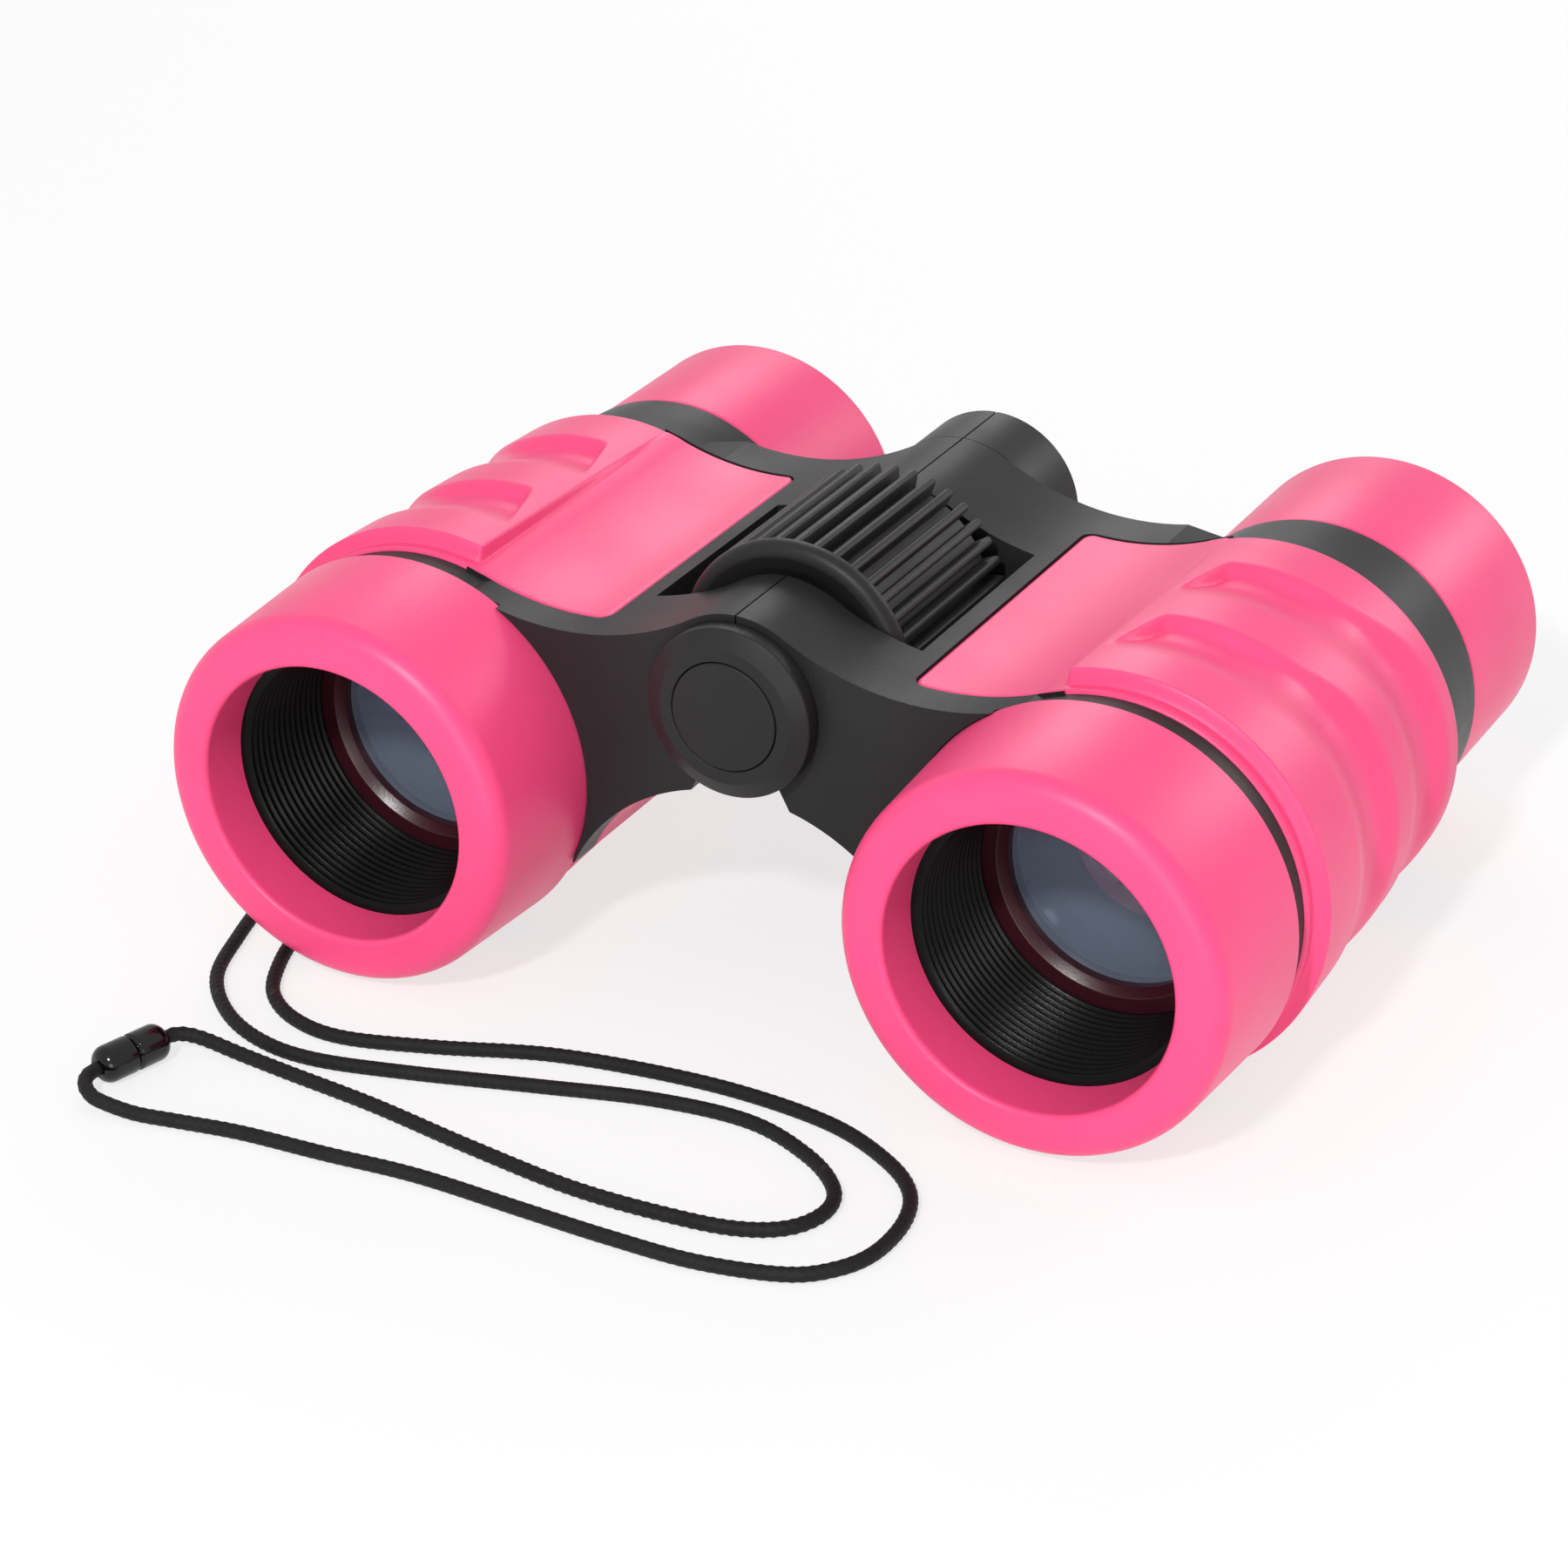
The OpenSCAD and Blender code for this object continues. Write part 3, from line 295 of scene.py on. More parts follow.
def black_bead():
    return moulded("glossy_bead", finish().black, rough=0.14, grain=2500.0, mottle=150.0,
                   depth=0.02 * MM, shade=0.2, specular=0.4)


def braided_cord():
    # The cord's raised yarn crests get a slightly lighter colour
    material = moulded("braided_cord", finish().cord, rough=0.68, grain=6000.0, mottle=400.0,
                       depth=0.08 * MM, shade=0.35, rub=0.015, specular=0.3)
    bsdf = material.node_tree.nodes["Principled BSDF"]
    bsdf.inputs["Sheen Weight"].default_value = 0.03
    bsdf.inputs["Sheen Roughness"].default_value = 0.4
    return material


def steel():
    material, bsdf = shader("turned_steel")
    if bsdf is None:
        return material
    texture = add_grain(material.node_tree, grain=3000.0)
    uneven_gloss(material.node_tree, bsdf, texture.outputs["Height"], 0.22, 0.38)
    bsdf.inputs["Base Color"].default_value = STEEL_GREY
    bsdf.inputs["Metallic"].default_value = 1.0
    return material


def lens_glass():
    """Moulded lens, a little hazy: it mirrors the room, and the light that falls in shows on it."""
    material, bsdf = shader("lens_glass")
    if bsdf is None:
        return material
    texture = add_grain(material.node_tree, mottle=140.0)
    uneven_gloss(material.node_tree, bsdf, texture.outputs["Mottle"], 0.02, 0.04)
    bsdf.inputs["Base Color"].default_value = LENS_BLUE
    bsdf.inputs["Transmission Weight"].default_value = 0.70
    bsdf.inputs["IOR"].default_value = 1.55
    return material


# Mesh tools

def smoothstep(low, high, value):
    t = np.clip((value - low) / (high - low), 0.0, 1.0)
    return t * t * (3.0 - 2.0 * t)


def piece(name, verts, faces, material, slot, body, *nodes, sharp=35.0):
    """One closed piece from points in metres, which rides on a body and stands for CAD nodes."""
    mesh = bpy.data.meshes.new(name)
    mesh.from_pydata([tuple(v) for v in verts], [], faces)
    work = bmesh.new()
    work.from_mesh(mesh)
    bmesh.ops.recalc_face_normals(work, faces=work.faces)
    work.to_mesh(mesh)
    work.free()
    mesh.shade_smooth()
    mesh.set_sharp_from_angle(angle=math.radians(sharp))
    mesh.materials.append(material)
    made = bpy.data.objects.new(name, mesh)
    bpy.context.scene.collection.objects.link(made)
    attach(made, body)
    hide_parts(*nodes)
    return made


def dress(node, material):
    """Gives a CAD node, whose shape is right as it is, its finish."""
    shown = NODES[node]
    shown.data.materials.clear()
    shown.data.materials.append(material)


def rounded(corners, steps=6):
    """An outline of (radius, y, rounding) corners, closed, with each corner turned by an arc."""
    outline = []
    count = len(corners)
    straight = math.radians(89.0)
    for i, (r, y, rounding) in enumerate(corners):
        here = Vector((r, y))
        if rounding <= 0.0:
            outline.append(here)
            continue
        back = (Vector(corners[i - 1][:2]) - here).normalized()
        ahead = (Vector(corners[(i + 1) % count][:2]) - here).normalized()
        half = back.angle(ahead) / 2
        if half > straight:
            outline.append(here)
            continue
        reach = rounding / math.tan(half)
        centre = here + (back + ahead).normalized() * (rounding / math.sin(half))
        start, end = here + back * reach - centre, here + ahead * reach - centre
        sweep = start.angle_signed(end)
        for k in range(steps + 1):
            turn = Matrix.Rotation(-sweep * k / steps, 2)
            outline.append(centre + turn @ start)
    return [(p[0], p[1]) for p in outline]


def about(axis):
    """Puts a point of an outline, (radius, y) in millimetres, round an axis (x, z) along Y, in metres."""
    axis_x, axis_z = axis

    def put(r, y, angle):
        return axis_x + r * MM * math.cos(angle), RIM_Y + y * MM, axis_z + r * MM * math.sin(angle)

    return put


def spun(outline, put, segments):
    """The points of an outline at even angles, one copy of it after another."""
    return [put(r, y, 2.0 * math.pi * k / segments) for k in range(segments) for r, y in outline]


def turned(outline, put, segments):
    """Turns a closed outline into a ring."""
    faces = []
    n = len(outline)
    for k in range(segments):
        a, b = k * n, (k + 1) % segments * n
        for i in range(n):
            j = (i + 1) % n
            faces.append((a + i, a + j, b + j, b + i))
    return spun(outline, put, segments), faces


def turned_plug(outline, put, segments):
    """Turns an open outline that starts and ends on the axis, so the piece is closed by two points."""
    sides = outline[1:-1]
    verts = [put(*outline[0], 0.0), put(*outline[-1], 0.0), *spun(sides, put, segments)]
    faces = []
    n = len(sides)
    for k in range(segments):
        a, b = 2 + k * n, 2 + (k + 1) % segments * n
        faces.append((0, a, b))
        faces.append((1, b + n - 1, a + n - 1))
        for i in range(n - 1):
            faces.append((a + i, a + i + 1, b + i + 1, b + i))
    return verts, faces


def about_barrel(side):
    return about((side * AXIS_X, AXIS_Z))


def smooth_route(points, step, span=60):
    """Even points on a smooth curve through a route, which is in millimetres, and its length, in metres."""
    p = np.array(points, dtype=float)
    p = np.vstack([2 * p[0] - p[1], p, 2 * p[-1] - p[-2]])
    dense = []
    for i in range(1, len(p) - 2):
        t = np.linspace(0.0, 1.0, span, endpoint=False)[:, None]
        a, b, c, d = p[i - 1], p[i], p[i + 1], p[i + 2]
        dense.append(0.5 * (2 * b + (c - a) * t + (2 * a - 5 * b + 4 * c - d) * t ** 2
                            + (3 * b - a - 3 * c + d) * t ** 3))
    dense = np.vstack(dense + [p[-2][None]])
    run = np.concatenate([[0.0], np.cumsum(np.linalg.norm(np.diff(dense, axis=0), axis=1))])
    count = max(2, int(round(run[-1] / step)) + 1)
    even = np.linspace(0.0, run[-1], count)
    path = np.stack([np.interp(even, run, dense[:, k]) for k in range(3)], axis=1)
    return path * MM, run[-1] * MM


def braid(path, radius, sides=24, bumps=4, pitch=1.0 * MM, relief=0.06):
    """A closed braided tube: yarns cross round it as rows of staggered bumps."""
    path = np.asarray(path)
    count = len(path)
    heading = np.gradient(path, axis=0)
    heading /= np.linalg.norm(heading, axis=1)[:, None]
    across = np.zeros_like(path)
    first = np.cross(heading[0], (0.0, 0.0, 1.0))
    if np.linalg.norm(first) < 0.2:
        first = np.cross(heading[0], (1.0, 0.0, 0.0))
    across[0] = first / np.linalg.norm(first)
    for i in range(1, count):
        turned_on = across[i - 1] - heading[i] * np.dot(across[i - 1], heading[i])
        across[i] = turned_on / np.linalg.norm(turned_on)
    over = np.cross(heading, across)
    run = np.concatenate([[0.0], np.cumsum(np.linalg.norm(np.diff(path, axis=0), axis=1))])
    angle = np.linspace(0.0, 2.0 * math.pi, sides, endpoint=False)
    wave = np.cos(2.0 * math.pi * run / pitch)[:, None]
    bump = np.cos(bumps * angle)[None, :] * wave
    radii = np.broadcast_to(np.asarray(radius), (count,))[:, None] * (1.0 - relief + relief * bump)
    points = (path[:, None, :] + radii[..., None] * (np.cos(angle)[None, :, None] * across[:, None, :]
                                                     + np.sin(angle)[None, :, None] * over[:, None, :]))
    verts = [tuple(v) for v in points.reshape(-1, 3)]
    faces = []
    for i in range(count - 1):
        a, b = i * sides, (i + 1) * sides
        for k in range(sides):
            m = (k + 1) % sides
            faces.append((a + k, a + m, b + m, b + k))
    faces.append(tuple(range(sides - 1, -1, -1)))
    faces.append(tuple(range((count - 1) * sides, count * sides)))
    return verts, faces


# Operators

class StageOperator(bpy.types.Operator):
    """Camera, lights, white table and sky"""

    bl_idname = "binoculars.stage"
    bl_label = "Stage"

    # The photo's camera: sizes in millimetres, place in metres, angles in degrees
    sensor_width, focal_length = 36.0, 100.79
    camera_place = (0.19545, -0.37854, 0.22640)
    camera_turn, camera_rise, camera_roll = 28.739, 26.781, 1.18

    # Half of the table's side in metres, the share of plain white that is seen on it, and the room's light
    table_reach = 3.0
    table_white = 0.72
    room_light = 0.57

    # Name, place and size of each lamp in metres, and its power in watts
    lamp_aim = (0.0, 0.0, 0.02)
    lamps = (
        ("back_left", (-0.23, 0.51, 0.36), (0.20, 0.20), 0.5),
        ("back_right", (0.30, 0.52, 0.30), (0.20, 0.20), 0.7),
        ("front_key", (0.13, -0.72, 0.63), (0.07, 0.07), 4.9),
        ("front_fill", (0.40, -0.80, 0.14), (0.40, 0.20), 1.4),
    )

    def execute(self, context):
        scene = context.scene
        scene.view_settings.view_transform = "Standard"
        self.camera(scene)
        self.table(scene)
        self.room(scene)
        for name, place, size, power in self.lamps:
            self.lamp(name, place, self.lamp_aim, size, power)
        return {"FINISHED"}

    def camera(self, scene):
        """The photo's camera, rolled a little."""
        data = bpy.data.cameras.new("photo_camera")
        data.sensor_width = self.sensor_width
        data.lens = self.focal_length
        data.clip_start = 0.01
        camera = bpy.data.objects.new("photo_camera", data)
        scene.collection.objects.link(camera)
        turn, rise, roll = (math.radians(a) for a in (self.camera_turn, self.camera_rise, self.camera_roll))
        back = Vector((math.sin(turn) * math.cos(rise), -math.cos(turn) * math.cos(rise), math.sin(rise)))
        level = Vector((math.cos(turn), math.sin(turn), 0.0))
        upright = back.cross(level)
        right = level * math.cos(roll) - upright * math.sin(roll)
        up = level * math.sin(roll) + upright * math.cos(roll)
        facing = Matrix((right, up, back)).transposed().to_4x4()
        camera.matrix_world = Matrix.Translation(self.camera_place) @ facing
        scene.camera = camera

    def table(self, scene):
        """A white table that looks plain white and keeps a soft shadow."""
        r = self.table_reach
        floor_mesh = bpy.data.meshes.new("white_table")
        floor_mesh.from_pydata([(-r, -r, 0), (r, -r, 0), (r, r, 0), (-r, r, 0)], [], [(0, 1, 2, 3)])
        floor = bpy.data.objects.new("white_table", floor_mesh)
        scene.collection.objects.link(floor)
        white, bsdf = shader("white_table")
        bsdf.inputs["Base Color"].default_value = (*finish().floor, 1.0)
        bsdf.inputs["Roughness"].default_value = 0.6
        bsdf.inputs["Specular IOR Level"].default_value = 0.2
        tree = white.node_tree
        link = tree.links.new
        glow = tree.nodes.new("ShaderNodeEmission")
        share = tree.nodes.new("ShaderNodeMath")
        share.operation = "MULTIPLY"
        share.inputs[1].default_value = self.table_white
        mix = tree.nodes.new("ShaderNodeMixShader")
        link(self.seen_rays(tree), share.inputs[0])
        link(share.outputs[0], mix.inputs["Fac"])
        link(bsdf.outputs[0], mix.inputs[1])
        link(glow.outputs[0], mix.inputs[2])
        link(mix.outputs[0], tree.nodes["Material Output"].inputs["Surface"])
        floor_mesh.materials.append(white)

    def room(self, scene):
        """A white room: softer as a light than it looks."""
        world = bpy.data.worlds.new("white_room")
        world.use_nodes = True
        scene.world = world
        tree = world.node_tree
        link = tree.links.new
        soft = tree.nodes["Background"]
        soft.inputs["Color"].default_value = (1.0, 1.0, 1.0, 1.0)
        soft.inputs["Strength"].default_value = self.room_light
        bright = tree.nodes.new("ShaderNodeBackground")
        bright.inputs["Strength"].default_value = 1.0
        mix = tree.nodes.new("ShaderNodeMixShader")
        link(self.seen_rays(tree), mix.inputs["Fac"])
        link(soft.outputs[0], mix.inputs[1])
        link(bright.outputs[0], mix.inputs[2])
        link(mix.outputs[0], tree.nodes["World Output"].inputs["Surface"])

    @staticmethod
    def seen_rays(tree):
        """1 for the rays that show a background: from the camera, in a mirror image or through a lens."""
        path = tree.nodes.new("ShaderNodeLightPath")
        total = path.outputs["Is Camera Ray"]
        for kind in ("Is Glossy Ray", "Is Transmission Ray"):
            either = tree.nodes.new("ShaderNodeMath")
            either.operation = "MAXIMUM"
            tree.links.new(total, either.inputs[0])
            tree.links.new(path.outputs[kind], either.inputs[1])
            total = either.outputs[0]
        return total

    @staticmethod
    def lamp(name, place, aim, size, power):
        """A soft rectangular lamp that faces a point."""
        data = bpy.data.lights.new(name, "AREA")
        data.shape = "RECTANGLE"
        data.size, data.size_y = size
        data.energy = power
        lamp = bpy.data.objects.new(name, data)
        bpy.context.scene.collection.objects.link(lamp)
        lamp.location = place
        lamp.rotation_euler = (Vector(aim) - Vector(place)).to_track_quat("-Z", "Y").to_euler()


class CordOperator(bpy.types.Operator):
    """Two braided strands, the hitch on the lug and the breakaway bead"""

    bl_idname = "binoculars.cord"
    bl_label = "Cord and Bead"

    # Step between the points of a strand, in millimetres
    route_step = 0.2

    def execute(self, context):
        width = sizes().cord_width
        carried = {"a": [self.hitch(width)], "b": []}
        for end, sign in (("a", 1.0), ("b", -1.0)):
            verts, faces = self.bead(sign)
            carried[end].append(piece("bead_" + end, verts, faces, black_bead(), "black_bead", "left_half",
                                      "bead_half_" + end))
        for end, route in (("a", CORD_A), ("b", CORD_B)):
            path, length = smooth_route(route, self.route_step)
            verts, faces = braid(path, width / 2)
            strand = piece("strand_" + end, verts, faces, braided_cord(), "black_cord", "left_half",
                           "cord_strand_" + end, sharp=80.0)
        return {"FINISHED"}

    @staticmethod
    def bead(sign):
        """Half of the capsule bead, with a stepped seam and a rounded end."""
        along = Vector(BEAD_ALONG).normalized() * sign
        side = along.cross(Vector((0.0, 0.0, 1.0))).normalized()
        up = side.cross(along)
        middle = Vector(BEAD_MIDDLE)

        def put(r, t, angle):
            return tuple((middle + along * t + (side * math.cos(angle) + up * math.sin(angle)) * r) * MM)

        # Millimetres from the bead's axis, and from its middle
        seam, floor, end = 0.06, 3.5, 4.2
        bead_r, bore = 2.0, 0.86
        outline = rounded(((0.0, seam, 0.0), (1.72, seam, 0.0), (bead_r, 0.34, 0.12), (bead_r, end, 1.35),
                           (bore, end, 0.2), (0.80, floor, 0.0), (0.0, floor, 0.0)))
        return turned_plug(outline, put, 64)

    @staticmethod
    def hitch(width):
        """Two tight turns round the lug's bar, from one strand's top to the other's."""
        # Millimetres: radius of the turns, how much tighter they are in the middle, their width, the ends' drop
        loose, tighter, spread, hang = 1.7, 0.35, 2.0, 0.6
        end_share, thinner = 0.06, 0.3
        run = np.linspace(0.0, 1.0, 420)
        middle = np.sin(math.pi * run) ** 0.5
        angle = math.radians(-90.0) + 4.0 * math.pi * run
        wind = loose - tighter * middle
        drop = hang * (np.clip(1.0 - run / end_share, 0.0, 1.0)
                       + np.clip((run - (1.0 - end_share)) / end_share, 0.0, 1.0))
        path = np.stack([
            LUG_BAR[0] - wind * np.cos(angle),
            LUG_BAR[1] - spread / 2 + spread * run,
            LUG_BAR[2] + wind * np.sin(angle) - drop,
        ], axis=1) * MM
        verts, faces = braid(path, width / 2 * (1.0 - thinner * middle), sides=20)
        return piece("hitch", verts, faces, braided_cord(), "black_cord", "left_half", "cord_hitch",
                     sharp=80.0)


class GripOperator(bpy.types.Operator):
    """Soft grip sleeves with their raised pads and finger dents"""

    bl_idname = "binoculars.grips"
    bl_label = "Grip Sleeves"

    # Millimetres behind the rim or about the barrel's axis, and degrees about it from the outer side
    y0, y1 = 20.2, 62.0
    half_spacing = 39.6
    r_front, r_rear, skin = 20.8, 19.3, 1.6
    pad_front, pad_rear, pad_y = 22.3, 20.7, 22.0
    panel_x, corner = 17.5, 1.6

    # Arcs over and under the bridge: centre across, centre above the barrel's axis, radius
    saddle, saddle_end = (20.8, 47.7, 30.5), 111.5
    arch, arch_end = (0.0, -19.5, 22.5), -153.8
    arch_start, arch_sweep = math.radians(63.8), 0.22

    # Where the pad rises: along the barrel, then at its inner and its lower edge
    pad_rise, pad_inner, pad_lower = (21.6, 22.5), (105.0, 107.2), (-65.0, -60.5)
    panel_blend = (98.0, 107.0)

    # Finger grooves: their rows, how they lag on the outer side, the wall where they start, and their section
    groove_rows, groove_lag, groove_outer = (0.0, 16.0), 2.6, (30.0, 72.0)
    wall_deg, wall_y, wall_turn, wall_run = 102.0, 31.0, 5.0, 7.0
    wall_foot, wall_top = 2.2, 0.4
    groove_fade = (-48.0, -4.0)
    neck, neck_in, neck_out = 0.45, (40.0, 56.0), (58.0, 74.0)
    groove_front, groove_back, groove_wider = (28.0, 35.2), (36.2, 38.4), 2.2

    # Samples: counts, and stretches (from, to, count) that have more of them
    row_count, saddle_count, barrel_count, arch_count = 126, 26, 260, 8
    fine_rows = (21.5, 22.6, 9)
    fine_columns = ((104.8, 107.4, 9), (93.0, 104.0, 23))

    def execute(self, context):
        for label, side in SIDES:
            verts, faces = self.sleeve(side)
            piece("grip_" + label, verts, faces, pink_rubber(), "pink_rubber", label + "_half",
                  label + "_grip_sleeve", sharp=60.0)
        return {"FINISHED"}

    def dents(self, y, deg):
        """Depth of the two finger grooves: each starts at a wall on the top and runs down the outer side."""
        depth = np.zeros(np.broadcast(y, deg).shape)
        full = sizes().dent_depth / MM
        outer = 1.0 - smoothstep(*self.groove_outer, deg)
        front, back = self.groove_back
        for row in self.groove_rows:
            t = y - row - self.groove_lag * outer
            wall = self.wall_deg - (y - row - self.wall_y) * self.wall_turn / self.wall_run
            length = 1.0 - smoothstep(wall - self.wall_foot, wall + self.wall_top, deg)
            length = length * smoothstep(*self.groove_fade, deg)
            narrow = smoothstep(*self.neck_in, deg) * (1.0 - smoothstep(*self.neck_out, deg))
            across = smoothstep(*self.groove_front, t)
            across = across * (1.0 - smoothstep(front, back + self.groove_wider * outer, t))
            depth = depth + full * length * (1.0 - self.neck * narrow) * across
        return depth

    def radius(self, y, deg):
        """Outer radius about the barrel axis, and the radius of the sleeve under the pad."""
        plain = self.r_front + (self.r_rear - self.r_front) * (y - self.y0) / (self.y1 - self.y0)
        base = plain + (self.r_front - plain) * smoothstep(*self.panel_blend, deg)
        pad = self.pad_front + (self.pad_rear - self.pad_front) * (y - self.pad_y) / (self.y1 - self.pad_y)
        raised = smoothstep(*self.pad_rise, y) * (1.0 - smoothstep(*self.pad_inner, deg))
        raised = raised * smoothstep(*self.pad_lower, deg)
        return base + (pad - base) * raised - self.dents(y, deg) * raised, base

    def rows(self, edge, lead, fall):
        """Places along the barrel, and how far the rounded borders fall at each."""
        inside = np.linspace(self.y0 + edge, self.y1 - edge, self.row_count)[1:-1]
        inside = np.unique(np.concatenate([inside, np.linspace(*self.fine_rows)]))
        y = np.concatenate([self.y0 + lead, inside, self.y1 - lead[::-1]])
        return y, np.concatenate([fall, np.zeros(len(inside)), fall[::-1]])

    def panel_start(self, y):
        """Where the panel starts across, with its corners rounded off."""
        near = np.minimum(y - self.y0, self.y1 - y)
        reach = np.sqrt(np.maximum(self.corner ** 2 - (self.corner - near) ** 2, 0.0))
        return self.panel_x + np.where(near < self.corner, self.corner - reach, 0.0)

    @staticmethod
    def arc_columns(arc, upward, angles, falls):
        """Columns along an arc: outer points, points under the pad, the way inwards and the border's fall."""
        cx, cz, radius = arc
        columns = []
        for angle, fall in zip(angles, falls):
            away = np.stack([np.sin(angle), upward * np.cos(angle)], axis=1)
            base = np.array([cx, cz]) + radius * away
            columns.append((base, base, away, fall))
        return columns

    def saddle_columns(self, start_x, edge, lead, fall):
        """From the panel's edge, over the bridge, to the barrel."""
        cx, _, radius = self.saddle
        first = np.arcsin((start_x - cx) / radius)
        last = math.radians(self.saddle_end - 90.0)
        shares = np.linspace(edge / radius, 1.0, self.saddle_count)[1:-1]
        angles = [first + s for s in lead / radius] + [first + s * (last - first) for s in shares]
        return self.arc_columns(self.saddle, -1.0, angles, [*fall, *np.zeros(len(shares))])

    def barrel_columns(self, y):
        """Over the top of the barrel and round its outer side to the arch."""
        centre = np.array([self.half_spacing, 0.0])
        around = [np.linspace(self.saddle_end, self.arch_end, self.barrel_count)]
        around += [np.linspace(*stretch) for stretch in self.fine_columns]
        columns = []
        for deg in np.unique(np.concatenate(around))[::-1]:
            out = np.array([math.cos(math.radians(deg)), math.sin(math.radians(deg))])
            outer, base = self.radius(y, np.full_like(y, deg))
            columns.append((centre + outer[:, None] * out, centre + base[:, None] * out,
                            np.broadcast_to(-out, (len(y), 2)), 0.0))
        return columns

    def arch_columns(self, start_x, edge, lead, fall):
        """Under the bridge, back to the panel's lower edge."""
        cx, _, radius = self.arch
        first = self.arch_start
        last = np.arcsin((start_x - cx) / radius)
        shares = np.linspace(0.0, 1.0 - edge / radius / self.arch_sweep, self.arch_count)
        angles = [first + s * (last - first) for s in shares] + [last + s for s in lead[::-1] / radius]
        return self.arc_columns(self.arch, 1.0, angles, [*np.zeros(len(shares)), *fall[::-1]])

    def sleeve(self, side):
        """An outer and an inner skin over rows along the barrel and columns round it, closed at the borders."""
        edge = sizes().edge_round / MM
        bend = np.radians(np.linspace(0.0, 90.0, 5))
        lead, fall = edge * (1.0 - np.cos(bend)), edge * (1.0 - np.sin(bend))
        y, row_fall = self.rows(edge, lead, fall)
        start_x = self.panel_start(y)
        columns = (self.saddle_columns(start_x, edge, lead, fall) + self.barrel_columns(y)
                   + self.arch_columns(start_x, edge, lead, fall))
        rows, count = len(y), len(columns)
        outer = np.zeros((rows, count, 3))
        inner = np.zeros((rows, count, 3))
        for j, (top, base, away, column_fall) in enumerate(columns):
            drop = np.maximum(row_fall, column_fall)[:, None]
            for grid, flat in ((outer, top + away * drop), (inner, base + away * self.skin)):
                grid[:, j, 0] = side * flat[:, 0] * MM
                grid[:, j, 1] = RIM_Y + y * MM
                grid[:, j, 2] = AXIS_Z + flat[:, 1] * MM
        verts = np.concatenate([outer.reshape(-1, 3), inner.reshape(-1, 3)])
        return verts, self.skin_faces(rows, count)

    @staticmethod
    def skin_faces(rows, count):
        """Faces of two grids of points, joined along their four borders."""
        shift = rows * count
        faces = []
        for i in range(rows - 1):
            for j in range(count - 1):
                a, b = i * count + j, (i + 1) * count + j
                faces.append((a, a + 1, b + 1, b))
                faces.append((shift + a, shift + b, shift + b + 1, shift + a + 1))
        for i in range(rows - 1):
            a, b = i * count, (i + 1) * count
            faces.append((a, b, shift + b, shift + a))
            a, b = a + count - 1, b + count - 1
            faces.append((a, shift + a, shift + b, b))
        for j in range(count - 1):
            a, b = j, (rows - 1) * count + j
            faces.append((a, shift + a, shift + a + 1, a + 1))
            faces.append((b, b + 1, shift + b + 1, shift + b))
        return faces


